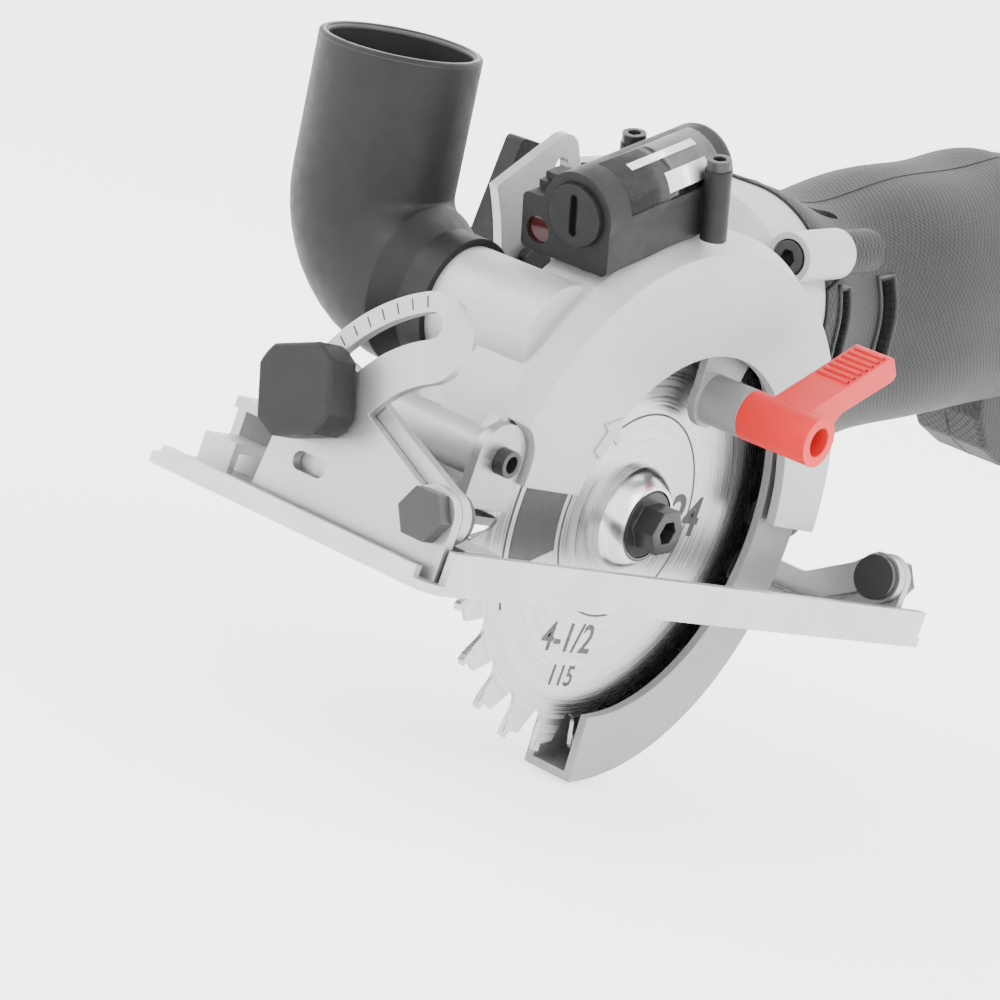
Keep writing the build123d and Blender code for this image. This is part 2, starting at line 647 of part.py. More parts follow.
def make_gear_case():
    """Casting between guard and motor: a nose for the spindle that widens to a bell."""
    with BuildPart() as case:
        add(case_body(0.0))
        add(case_body(CASE_WALL), mode=Mode.SUBTRACT)
        # room for the large bevel wheel
        with BuildSketch(side(LAY_X - 1)):
            Circle(BEVEL_M * (BEVEL_WT / 2 + 1.0))
        extrude(amount=9, mode=Mode.SUBTRACT)
        # nose and spindle tunnel
        with BuildSketch(side(BUSH_X[0])):
            Circle(NOSE_R - 1.0)
        extrude(amount=GUARD_BACK - BUSH_X[0])
        with BuildSketch(side(GUARD_BACK)):
            Circle(NOSE_R)
        extrude(amount=NOSE_END - GUARD_BACK)
        with BuildSketch(side(BUSH_X[0] - 1)):
            Circle(BUSH_R)
        extrude(amount=BUSH_X[1] - BUSH_X[0] + 1, mode=Mode.SUBTRACT)
        with BuildSketch(side(BUSH_X[0] - 1)):
            Circle(SPINDLE_R + 0.8)
        extrude(amount=40, mode=Mode.SUBTRACT)
        with BuildSketch(side(BEARING_X)):
            Circle(BEARING_R)
        extrude(amount=NOSE_END - BEARING_X + 1, mode=Mode.SUBTRACT)
        # block for the layshaft's front bearing
        with BuildSketch(cross(LAY_FRONT_Y + LAY_BEARING_W, LAY_X, 0)):
            Rectangle(2 * (LAY_X - CASE[0][1]) - 1, 22)
        extrude(amount=LAY_BEARING_W)
        with BuildSketch(cross(LAY_FRONT_Y + LAY_BEARING_W, LAY_X, 0)):
            Circle(LAY_BEARING_R)
        extrude(amount=LAY_BEARING_W, mode=Mode.SUBTRACT)
        # bosses for the depth plate and for the long screws into the housing
        for y, z in PLATE_SCREWS:
            with BuildSketch(side(PLATE_X[1], *to_head(y, z))):
                Circle(4)
            extrude(amount=5)
            with BuildSketch(side(PLATE_X[1], *to_head(y, z))):
                Circle(SCREW_R)
            extrude(amount=4, mode=Mode.SUBTRACT)
        for dx, z in BELL_SCREWS:
            with BuildSketch(cross(JOINT_Y, MOTOR_X + dx, z)):
                Circle(6.2)
            extrude(amount=JOINT_Y - 62)
            with BuildSketch(cross(JOINT_Y, MOTOR_X + dx, z)):
                Circle(2.2)
            extrude(amount=JOINT_Y - 61, mode=Mode.SUBTRACT)
            with BuildSketch(cross(66, MOTOR_X + dx, z)):
                Circle(4.6)
            extrude(amount=12, mode=Mode.SUBTRACT)
        # seat for the spindle lock button
        with BuildSketch(deck(0, *LOCK_AT)):
            Circle(LOCK_R + RUN)
        extrude(amount=60, mode=Mode.SUBTRACT)
        # threads for the screws that hold the guard
        with BuildSketch(base_side(GUARD_BACK)):
            with PolarLocations(GUARD_BOLT_R, 3, start_angle=30):
                Circle(SCREW_R)
        extrude(amount=-CASE_WALL, mode=Mode.SUBTRACT)
    save(case, "gear_case")


LOCK_AT = (-30.0, 2.0)
LOCK_R = 4.0


def make_depth_plate():
    """Sheet segment about the depth pivot with the arc slot that the depth bolt runs in."""
    low, high = DEPTH_AT - DEPTH_MAX - 0.8, DEPTH_AT + 0.8
    slot = DEPTH_BOLT_R + 0.2
    with BuildPart() as plate:
        with BuildSketch(base_side(PLATE_X[0], DEPTH_Y, DEPTH_Z)):
            add(ring_sector(76.0, 105.0, -17.0, 41.0))
            with Locations((100, -ARBOR_H + 1.0 - DEPTH_Z - 20)):
                Rectangle(80, 40, mode=Mode.SUBTRACT)
            add(ring_sector(DEPTH_R - slot, DEPTH_R + slot, low, high), mode=Mode.SUBTRACT)
            for angle in (low, high):
                with Locations(polar(DEPTH_R, angle)):
                    Circle(slot, mode=Mode.SUBTRACT)
            with Locations(polar(98.0, 35.3)):
                SlotOverall(9, 4.6, rotation=118, mode=Mode.SUBTRACT)
            for y, z in PLATE_SCREWS:
                with Locations((y - DEPTH_Y, z - DEPTH_Z)):
                    Circle(SCREW_R + 0.1, mode=Mode.SUBTRACT)
        extrude(amount=PLATE_X[1] - PLATE_X[0])
        corners = plate.edges().filter_by(Axis.X).group_by(Axis.Z)[-1] + \
            plate.edges().filter_by(Axis.X).group_by(Axis.Z)[-2]
        fillet(corners, 6)
    save(plate, "depth_plate")


def make_depth_plate_screws():
    with BuildPart() as screws:
        for y, z in PLATE_SCREWS:
            spot = to_head(y, z)
            add(rod(side(PLATE_X[0] - 0.01, *spot), SCREW_R - 0.02, PLATE_X[1] - PLATE_X[0] + 3.5))
            add(rod(side(PLATE_X[0] - 1.8, *spot), 3.2, 1.8))
    save(screws, "depth_plate_screws")


# ---------------------------------------------------------------- blade and spindle
TIP_R = BLADE_D / 2
GULLET_R = TIP_R - 9.6


def tip_outline(tip):
    """Corners of one carbide tip, whose point stands at the angle tip."""
    return [polar(TIP_R, tip - 0.05), polar(TIP_R - 3.6, tip - 1.15), polar(TIP_R - 3.6, tip + 0.3),
            polar(TIP_R, tip + 1.5), polar(TIP_R, tip - 0.05)]


def make_blade():
    """Toothed disc: each gullet is cut to the face of one tooth and the back of the last."""
    step = 360 / TEETH
    with BuildPart() as blade:
        with BuildSketch(base_side(-(KERF + PLATE_T) / 2)):
            Circle(TIP_R - 0.9)
            Circle(BLADE_BORE / 2, mode=Mode.SUBTRACT)
            for k in range(TEETH):
                tip = FIRST_TOOTH + step * k
                with BuildLine():
                    face_top = polar(TIP_R + 1, tip - 0.6)
                    face_low = polar(TIP_R - 6.2, tip - 1.7)
                    root_a = polar(GULLET_R + 0.9, tip - 3.6)
                    root_b = polar(GULLET_R + 0.4, tip - 6.6)
                    back = polar(TIP_R - 2.6, tip - step + 5.6)
                    out = polar(TIP_R + 1, tip - step + 5.0)
                    Line(face_top, face_low)
                    ThreePointArc(face_low, root_a, root_b)
                    Line(root_b, back)
                    Line(back, out)
                    Line(out, face_top)
                make_face(mode=Mode.SUBTRACT)
                with BuildLine():
                    Polyline(polar(TIP_R + 1, tip + 1.6), polar(TIP_R - 1.8, tip + 1.7),
                             polar(TIP_R - 2.6, tip + 5.8), polar(TIP_R + 1, tip + 6.2),
                             polar(TIP_R + 1, tip + 1.6))
                make_face(mode=Mode.SUBTRACT)
                with BuildLine():
                    Polyline(*tip_outline(tip))
                make_face(mode=Mode.SUBTRACT)
        extrude(amount=PLATE_T)
    save(blade, "blade")


def make_carbide_tips():
    """Brazed tips in seats at the top of each tooth's face, a little wider than the plate."""
    tips = []
    for k in range(TEETH):
        tip = FIRST_TOOTH + 360 / TEETH * k
        with BuildPart() as carbide:
            with BuildSketch(base_side(-KERF)):
                with BuildLine():
                    Polyline(*tip_outline(tip))
                make_face()
            extrude(amount=KERF)
        tips.append(carbide.part)
    with BuildPart() as group:
        add(tips)
    save(group, "carbide_tips")


FLANGE_R, FLANGE_TOP_R, FLANGE_H = 12.3, 8.9, 5.7
INNER_FLANGE_T = 3.0
SEAT_R = BLADE_BORE / 2 - 0.03
BOLT_R = 3.0
BOLT_HEAD_X = 11.4


def make_flanges_and_bolt():
    back = -(KERF + PLATE_T) / 2
    front = back + PLATE_T
    with BuildPart() as inner:
        with BuildSketch(side(back - INNER_FLANGE_T)):
            Circle(11)
            Circle(SEAT_R, mode=Mode.SUBTRACT)
        extrude(amount=INNER_FLANGE_T)
    save(inner, "inner_flange")
    with BuildPart() as outer:
        with BuildSketch(Plane(origin=head_point(0, 0, 0), x_dir=X_DIR, z_dir=HEAD_Y * -1)):
            with BuildLine():
                Polyline((front, SEAT_R + 0.05), (front, FLANGE_R), (1.4, FLANGE_R))
                ThreePointArc((1.4, FLANGE_R), (4.1, 10.6), (FLANGE_H, FLANGE_TOP_R))
                Polyline((FLANGE_H, FLANGE_TOP_R), (FLANGE_H, 8.2), (3.6, 7.9), (3.6, BOLT_R + 0.1),
                         (1.2, BOLT_R + 0.1), (1.2, SEAT_R + 0.05), (front, SEAT_R + 0.05))
            make_face()
        revolve(axis=Axis(ARBOR, X_DIR))
    save(outer, "outer_flange")
    with BuildPart() as bolt:
        add(rod(side(3.6), 7.7, 2.0))
        add(rod(side(-14.0), BOLT_R, 18.0))
        add(hex_bar(side(5.5), 10.0, BOLT_HEAD_X - 5.5))
        with BuildSketch(side(BOLT_HEAD_X - 4)):
            RegularPolygon(2.6, 6, major_radius=False)
        extrude(amount=5, mode=Mode.SUBTRACT)
    save(bolt, "blade_bolt")


def bevel_gear(teeth, pitch_r, other_r, width, name_plane):
    """Bevel gear whose cone's tip is the plane's origin; its axis is the plane's normal.
    The pitch circle lies other_r along the normal."""
    cone = hypot(pitch_r, other_r)
    angle = atan2(pitch_r, other_r)
    inner = (cone - width) / cone
    add_h, ded_h = 0.75 * BEVEL_M, 1.05 * BEVEL_M
    root = (pitch_r - ded_h * cos(angle), other_r + ded_h * sin(angle))
    tip = (pitch_r + add_h * cos(angle), other_r - add_h * sin(angle))
    half_root, half_tip = 0.30 * 2 * pi * pitch_r / teeth, 0.13 * 2 * pi * pitch_r / teeth
    radial = Plane(origin=name_plane.origin, x_dir=name_plane.x_dir, z_dir=name_plane.y_dir * -1)
    with BuildPart() as gear:
        with BuildSketch(radial):
            with BuildLine():
                Polyline((0, root[1] * inner), (root[0] * inner, root[1] * inner), root,
                         (root[0], root[1] + 2.2), (0, root[1] + 2.2), (0, root[1] * inner))
            make_face()
        revolve(axis=Axis(name_plane.origin, name_plane.z_dir))
        body = gear.part
    with BuildPart() as tooth:
        for scale in (1.0, inner):
            near = Vector(root[0] * 0.96, root[1] + 0.04 * root[0]) * scale
            far = Vector(tip[0], tip[1]) * scale
            slope = (far - near)
            middle_plane = Plane(
                origin=name_plane.origin + name_plane.x_dir * near.X + name_plane.z_dir * near.Y,
                x_dir=name_plane.y_dir,
                z_dir=(name_plane.x_dir * slope.X + name_plane.z_dir * slope.Y).cross(name_plane.y_dir) * -1)
            length = slope.length
            with BuildSketch(middle_plane):
                with BuildLine():
                    up = 1 if middle_plane.y_dir.dot(name_plane.x_dir) > 0 else -1
                    Polyline((-half_root * scale, 0), (half_root * scale, 0),
                             (half_tip * scale, up * length), (-half_tip * scale, up * length),
                             (-half_root * scale, 0))
                make_face()
        loft(ruled=True)
    return body, tooth.part


# ---------------------------------------------------------------- rotating parts of the drive
def spur_wheel(plane, teeth, width, bore, turn=0.0):
    """Straight-toothed wheel with short, slim teeth, centred on the plane's origin."""
    pitch_r = SPUR_M * teeth / 2
    tip_r = pitch_r + 0.8 * SPUR_M
    root_r = pitch_r - 1.05 * SPUR_M
    step = 360 / teeth
    with BuildPart() as wheel:
        with BuildSketch(plane):
            Circle(root_r)
            with PolarLocations(0, teeth, start_angle=turn):
                with BuildLine():
                    Polyline(polar(root_r - 0.3, -step * 0.27), polar(pitch_r, -step * 0.19),
                             polar(tip_r, -step * 0.08), polar(tip_r, step * 0.08),
                             polar(pitch_r, step * 0.19), polar(root_r - 0.3, step * 0.27),
                             polar(root_r - 0.3, -step * 0.27))
                make_face()
            Circle(bore, mode=Mode.SUBTRACT)
        extrude(amount=width)
    return wheel.part


def make_spindle_group():
    back = -(KERF + PLATE_T) / 2 - INNER_FLANGE_T
    apex = LAY_X
    with BuildPart() as spindle:
        add(rod(side(apex + 5.0), SPINDLE_R - RUN, back - apex - 5.0))
        add(rod(side(back - 1.0), SEAT_R - 0.02, 1.2 - back))
        with BuildSketch(side(-15.0)):
            Circle(BOLT_R + 0.01)
        extrude(amount=20, mode=Mode.SUBTRACT)
    save(spindle, "spindle")
    plane = Plane(origin=head_point(apex, 0, 0), x_dir=HEAD_Y, z_dir=X_DIR)
    body, tooth = bevel_gear(BEVEL_WT, BEVEL_M * BEVEL_WT / 2, BEVEL_M * BEVEL_PT / 2, 3.5, plane)
    with BuildPart() as wheel:
        add(body)
        for k in range(BEVEL_WT):
            add(tooth.rotate(Axis(plane.origin, plane.z_dir), 360 / BEVEL_WT * k))
        with BuildSketch(side(apex)):
            Circle(SPINDLE_R - RUN)
        extrude(amount=20, mode=Mode.SUBTRACT)
    save(wheel, "spindle_gear")


def make_layshaft_group():
    """Layshaft with the bevel pinion cut on its front end, and its large spur wheel."""
    end = LAY_REAR_Y + LAY_BEARING_W
    apex = Plane(origin=head_point(LAY_X, 0, 0), x_dir=X_DIR, z_dir=HEAD_Y)
    body, tooth = bevel_gear(BEVEL_PT, BEVEL_M * BEVEL_PT / 2, BEVEL_M * BEVEL_WT / 2, 3.5, apex)
    with BuildPart() as shaft:
        add(rod(cross(end, LAY_X, 0), SHAFT_R - RUN, end - 11.0))
        add(body)
        for k in range(BEVEL_PT):
            add(tooth.rotate(Axis(apex.origin, apex.z_dir), 360 / BEVEL_PT * (k + 0.5)))
        add(rod(cross(LAY_FRONT_Y - 0.5, LAY_X, 0), 4.2, 4.0))
    save(shaft, "layshaft")
    wheel = spur_wheel(cross(SPUR_Y[1], LAY_X, 0), WHEEL_T, SPUR_Y[1] - SPUR_Y[0], SHAFT_R - RUN, WHEEL_TURN)
    with BuildPart() as gear:
        add(wheel)
    save(gear, "layshaft_gear")


CENTRE_LINE = degrees(atan2(-MOTOR_Z, LAY_X - MOTOR_X))      # from motor axis to layshaft
WHEEL_TURN = CENTRE_LINE + 180.0
PINION_TURN = CENTRE_LINE + 180.0 / PINION_T
CORE_Y = (128.0, 164.0)
CORE_R = 14.0
FIELD_R = 23.0
COIL_X, COIL_T, COIL_W = 17.6, 4.6, 17.6
BORE_R = 14.6
FAN_Y = (98.0, 110.0)
FAN_R = 23.0
COMM_Y = (176.0, 190.0)
COMM_R = 9.0
SWITCH_Y = (258.0, 296.0)


def make_armature_group():
    end = MOTOR_REAR_Y + REAR_BEARING_W
    with BuildPart() as shaft:
        add(rod(cross(end, MOTOR_X, MOTOR_Z), SHAFT_R - RUN, end - SPUR_Y[1]))
        add(spur_wheel(cross(SPUR_Y[1], MOTOR_X, MOTOR_Z), PINION_T, SPUR_Y[1] - SPUR_Y[0] + 0.5, 0.5,
                       PINION_TURN))
    save(shaft, "armature_shaft")
    with BuildPart() as core:
        with BuildSketch(cross(CORE_Y[1], MOTOR_X, MOTOR_Z)):
            Circle(CORE_R)
            with PolarLocations(CORE_R - 1.5, 12):
                Rectangle(5, 1.6, mode=Mode.SUBTRACT)
            Circle(SHAFT_R - RUN, mode=Mode.SUBTRACT)
        extrude(amount=CORE_Y[1] - CORE_Y[0])
    save(core, "armature_core")
    with BuildPart() as coils:
        for y0, y1 in ((CORE_Y[0] - 8, CORE_Y[0]), (CORE_Y[1], CORE_Y[1] + 8)):
            with BuildSketch(cross(y1, MOTOR_X, MOTOR_Z)):
                Circle(CORE_R - 1.5)
                Circle(SHAFT_R - RUN, mode=Mode.SUBTRACT)
            extrude(amount=y1 - y0)
        ends = coils.faces().filter_by(GeomType.PLANE).sort_by(Axis.Y)
        fillet(ends[0].outer_wire().edges() + ends[-1].outer_wire().edges(), 2.5)
    save(coils, "armature_windings")
    with BuildPart() as commutator:
        with BuildSketch(cross(COMM_Y[1], MOTOR_X, MOTOR_Z)):
            Circle(COMM_R)
            with PolarLocations(COMM_R, 24):
                Rectangle(1.2, 0.4, mode=Mode.SUBTRACT)
            Circle(SHAFT_R - RUN, mode=Mode.SUBTRACT)
        extrude(amount=COMM_Y[1] - COMM_Y[0])
    save(commutator, "commutator")
    with BuildPart() as fan:
        add(rod(cross(FAN_Y[1], MOTOR_X, MOTOR_Z), FAN_R, 1.5, SHAFT_R - RUN))
        add(rod(cross(FAN_Y[1], MOTOR_X, MOTOR_Z), 7, FAN_Y[1] - FAN_Y[0], SHAFT_R - RUN))
        with BuildSketch(cross(FAN_Y[1] - 1, MOTOR_X, MOTOR_Z)):
            with PolarLocations(14.2, 16):
                Rectangle(16.5, 1.2, rotation=24)
        extrude(amount=FAN_Y[1] - FAN_Y[0] - 2)
    save(fan, "cooling_fan")


def make_bearings():
    with BuildPart() as ball:
        add(rod(side(BEARING_X), BEARING_R, BEARING_W, SPINDLE_R))
    save(ball, "spindle_bearing")
    with BuildPart() as bush:
        add(rod(side(BUSH_X[0]), BUSH_R, BUSH_X[1] - BUSH_X[0], SPINDLE_R))
    save(bush, "spindle_bush")
    with BuildPart() as others:
        for y in (LAY_FRONT_Y, LAY_REAR_Y):
            add(rod(cross(y + LAY_BEARING_W, LAY_X, 0), LAY_BEARING_R, LAY_BEARING_W, SHAFT_R))
        for y, r, width in ((MOTOR_FRONT_Y, MOTOR_BEARING_R, MOTOR_BEARING_W),
                            (MOTOR_REAR_Y, REAR_BEARING_R, REAR_BEARING_W)):
            add(rod(cross(y + width, MOTOR_X, MOTOR_Z), r, width, SHAFT_R))
    save(others, "shaft_bearings")


def make_bearing_plate():
    """Plate in the mouth of the housing that holds the rear layshaft and front motor bearings."""
    _, cz, hw, hh = BARREL[0]
    inset = HOUSING_WALL + 1.0
    front = 75.0
    with BuildPart() as plate:
        with BuildSketch(cross(JOINT_Y + 4, MOTOR_X, cz)):
            RectangleRounded(2 * (hw - inset), 2 * (hh - inset), hw * CORNER - inset)
        extrude(amount=4)
        add(rod(cross(JOINT_Y, LAY_X, 0), LAY_BEARING_R + 2, JOINT_Y - front - 1))
        add(rod(cross(JOINT_Y, MOTOR_X, MOTOR_Z), MOTOR_BEARING_R + 1.8, JOINT_Y - front - 1))
        with BuildSketch(cross(LAY_REAR_Y + LAY_BEARING_W, LAY_X, 0)):
            Circle(LAY_BEARING_R)
        extrude(amount=12, mode=Mode.SUBTRACT)
        with BuildSketch(cross(MOTOR_FRONT_Y + MOTOR_BEARING_W, MOTOR_X, MOTOR_Z)):
            Circle(MOTOR_BEARING_R)
        extrude(amount=12, mode=Mode.SUBTRACT)
        with BuildSketch(cross(JOINT_Y + 5, MOTOR_X, MOTOR_Z)):
            Circle(SHAFT_R + 1.5)
        extrude(amount=12, mode=Mode.SUBTRACT)
        for dx, z in BELL_SCREWS:
            with BuildSketch(cross(JOINT_Y + 5, MOTOR_X + dx, z)):
                Circle(6.5)
            extrude(amount=8, mode=Mode.SUBTRACT)
    save(plate, "bearing_plate")


def make_motor_stator():
    with BuildPart() as core:
        with BuildSketch(cross(CORE_Y[1] + 1, MOTOR_X, MOTOR_Z)):
            Circle(FIELD_R)
            Circle(BORE_R, mode=Mode.SUBTRACT)
            for x in (-1, 1):
                with Locations((x * COIL_X, 0)):
                    RectangleRounded(COIL_T + 0.4, COIL_W + 0.4, 2.2, mode=Mode.SUBTRACT)
        extrude(amount=CORE_Y[1] - CORE_Y[0] + 2)
    save(core, "field_core")
    with BuildPart() as coils:
        for x in (-1, 1):
            with BuildSketch(cross(CORE_Y[1] + 6, MOTOR_X + x * COIL_X, MOTOR_Z)):
                RectangleRounded(COIL_T, COIL_W, 2.0)
            extrude(amount=CORE_Y[1] - CORE_Y[0] + 12)
    save(coils, "field_coils")
    brush_y = sum(COMM_Y) / 2
    with BuildPart() as brushes:
        for x in (-1, 1):
            with BuildSketch(side(MOTOR_X + x * (COMM_R + 0.2), brush_y, MOTOR_Z)):
                Rectangle(7, 5)
            extrude(amount=x * 11)
    save(brushes, "carbon_brushes")
    with BuildPart() as holders:
        for x in (-1, 1):
            with BuildSketch(side(MOTOR_X + x * (COMM_R + 2.0), brush_y, MOTOR_Z)):
                Rectangle(9.4, 7.4)
                Rectangle(7.2, 5.2, mode=Mode.SUBTRACT)
            extrude(amount=x * 16)
    save(holders, "brush_holders")


# ---------------------------------------------------------------- motor housing and grip
SCREW_POSTS = [(210.0, 56.0), (210.0, 7.0), (308.0, 33.0), (308.0, 7.0)]
POST_R = 3.6
VENT_W = 5.0
VENTS = [(92.0, 2, 32), (118.0, -8, 36), (92.0, 150, 190), (118.0, 145, 190)]
GRIP_START = 246.0
TRIGGER_Y = (254.0, 284.0)
TRIGGER_X = (MOTOR_X - 6.5, MOTOR_X + 6.5)
TRIGGER_TRAVEL = 5.0
LOCKOFF_AT = (262.0, 38.0)
LOCKOFF_R = 4.5
GLAND_R = 6.0
CORD_R = 4.0


def hull_loft(sections, inset):
    slices = []
    for y, z, hw, hh in sections:
        with BuildSketch(cross(y, MOTOR_X, z), mode=Mode.PRIVATE) as outline:
            RectangleRounded(2 * (hw - inset), 2 * (hh - inset), hw * CORNER - min(inset, 2.0))
        slices.append(outline.sketch)
    return slices


def body_solid(inset, skin=0.0):
    """The whole motor housing and grip as one solid, inset by a wall and, over the grip,
    by the soft skin too."""
    grip = list(GRIP)
    end_y, *rest = GRIP[-1]
    grip[-1] = (end_y - inset, *rest)
    with BuildPart() as body:
        loft(hull_loft(BARREL, inset))
        loft(hull_loft(grip, inset + skin))
    return body.part


def finger_guard():
    """Rounded hook below the barrel, in front of the trigger."""
    with BuildPart() as hook:
        with BuildSketch(side(MOTOR_X - 12)):
            with BuildLine():
                Polyline((206, 4), (209, -8), (217, -18), (230, -24.5), (244, -26), (249, -20), (247, 4),
                         (206, 4))
            make_face()
            fillet(vertices(), 3.5)
        extrude(amount=24)
        fillet(hook.edges().filter_by(GeomType.LINE, reverse=True), 2.0)
    return hook.part


def make_housing():
    """Two clamshells split along the motor's axis, with ribs, screw posts and vents."""
    outer = body_solid(0.0)
    skin_core = body_solid(0.0, SKIN)
    inner = body_solid(HOUSING_WALL, SKIN)
    with BuildPart() as zone:
        with BuildSketch(cross(330, MOTOR_X, 20)):
            Rectangle(90, 90)
        extrude(amount=330 - GRIP_START)
    with BuildPart() as skin:
        add(outer)
        add(zone.part, mode=Mode.INTERSECT)
        add(skin_core, mode=Mode.SUBTRACT)
        with BuildSketch(side(TRIGGER_X[0] - 1, sum(TRIGGER_Y) / 2, 2)):
            Rectangle(TRIGGER_Y[1] - TRIGGER_Y[0] + 4, 22)
        extrude(amount=TRIGGER_X[1] - TRIGGER_X[0] + 2, mode=Mode.SUBTRACT)
        with BuildSketch(side(MOTOR_X, *LOCKOFF_AT)):
            Circle(LOCKOFF_R + 2.5)
        extrude(amount=40, mode=Mode.SUBTRACT)
        for y, z in SCREW_POSTS[2:]:
            with BuildSketch(side(MOTOR_X - 14, y, z)):
                Circle(3.1)
            extrude(amount=-40, mode=Mode.SUBTRACT)
    save(skin, "grip_overmold")
    with BuildPart() as shell:
        add(outer)
        add(skin.part, mode=Mode.SUBTRACT)
        add(finger_guard())
        add(inner, mode=Mode.SUBTRACT)
        # rebated mouth towards the gear case
        _, cz, hw, hh = BARREL[0]
        with BuildSketch(cross(JOINT_Y + 4, MOTOR_X, cz)):
            RectangleRounded(2 * (hw - 1.5), 2 * (hh - 1.5), hw * CORNER - 1.5)
        extrude(amount=5, mode=Mode.SUBTRACT)
        # rings that hold the field core and the rear bearing
        for y0, y1, r in ((130, 133, FIELD_R + 0.1), (159, 162, FIELD_R + 0.1),
                          (MOTOR_REAR_Y + 1, MOTOR_REAR_Y + 4, REAR_BEARING_R)):
            with BuildPart(mode=Mode.PRIVATE) as ring:
                with BuildSketch(cross(y1, MOTOR_X, MOTOR_Z)):
                    Rectangle(100, 110)
                    Circle(r, mode=Mode.SUBTRACT)
                extrude(amount=y1 - y0)
                add(inner, mode=Mode.INTERSECT)
            add(ring.part)
        # cradle round the switch
        with BuildPart(mode=Mode.PRIVATE) as cradle:
            with BuildSketch(cross(SWITCH_Y[1] - 4, MOTOR_X, 27)):
                Rectangle(100, 11)
                Rectangle(16, 14, mode=Mode.SUBTRACT)
            extrude(amount=3)
            add(inner, mode=Mode.INTERSECT)
        add(cradle.part)
        # posts for the housing screws
        for y, z in SCREW_POSTS:
            with BuildPart(mode=Mode.PRIVATE) as post:
                with BuildSketch(side(MOTOR_X - 40, y, z)):
                    Circle(POST_R)
                extrude(amount=80)
                add(inner, mode=Mode.INTERSECT)
            add(post.part)
        # posts behind the gear case's four corner screws
        for dx, z in BELL_SCREWS:
            with BuildSketch(cross(JOINT_Y + 14, MOTOR_X + dx, z)):
                Circle(5.5)
            extrude(amount=14)
            with BuildSketch(cross(JOINT_Y + 12, MOTOR_X + dx, z)):
                Circle(2.0)
            extrude(amount=13, mode=Mode.SUBTRACT)
        # side and top vents
        for y, start, stop in VENTS:
            with BuildSketch(cross(y + VENT_W / 2, MOTOR_X, MOTOR_Z)):
                add(ring_sector(20, 60, start, stop))
            extrude(amount=VENT_W, mode=Mode.SUBTRACT)
        with BuildSketch(deck(MOTOR_Z + 20, MOTOR_X)):
            with Locations((-9, 104), (9, 104)):
                SlotOverall(20, 4.5, rotation=90)
        extrude(amount=40, mode=Mode.SUBTRACT)
        # trigger slot, lock-off hole and cord inlet
        with BuildSketch(side(TRIGGER_X[0] - GAP, sum(TRIGGER_Y) / 2, 4)):
            Rectangle(TRIGGER_Y[1] - TRIGGER_Y[0] + 2 * GAP, 20)
        extrude(amount=TRIGGER_X[1] - TRIGGER_X[0] + 2 * GAP, mode=Mode.SUBTRACT)
        with BuildSketch(side(MOTOR_X, *LOCKOFF_AT)):
            Circle(LOCKOFF_R + GAP)
        extrude(amount=40, mode=Mode.SUBTRACT)
        with BuildSketch(cross(345, MOTOR_X, GRIP[-1][1])):
            Circle(GLAND_R + 0.02)
        extrude(amount=20, mode=Mode.SUBTRACT)
        # housing screws: clearance and head recess on the far side, pilot on the near side
        for y, z in SCREW_POSTS:
            with BuildSketch(side(MOTOR_X, y, z)):
                Circle(1.5)
            extrude(amount=14, mode=Mode.SUBTRACT)
            with BuildSketch(side(MOTOR_X, y, z)):
                Circle(1.6)
            extrude(amount=-60, mode=Mode.SUBTRACT)
            with BuildSketch(side(MOTOR_X - 14, y, z)):
                Circle(3.1)
            extrude(amount=-40, mode=Mode.SUBTRACT)
    middle = side(MOTOR_X)
    for keep, name in ((Keep.TOP, "housing_left"), (Keep.BOTTOM, "housing_right")):
        with BuildPart() as half:
            add(shell.part)
            split(bisect_by=middle, keep=keep)
        save(half, name)


def make_housing_screws():
    with BuildPart() as screws:
        for y, z in SCREW_POSTS:
            add(rod(side(MOTOR_X - 14, y, z), 1.48, 26))
            add(rod(side(MOTOR_X - 17, y, z), 2.9, 3))
    save(screws, "housing_screws")
    with BuildPart() as long_screws:
        for dx, z in BELL_SCREWS:
            add(rod(cross(JOINT_Y + 11, MOTOR_X + dx, z), 1.98, JOINT_Y + 11 - 66))
            with BuildSketch(cross(66, MOTOR_X + dx, z)):
                Circle(4.2)
            extrude(amount=4.5)
            with BuildSketch(cross(61.4, MOTOR_X + dx, z)):
                RegularPolygon(1.9, 6, major_radius=False)
            extrude(amount=-3, mode=Mode.SUBTRACT)
    save(long_screws, "gear_case_screws")


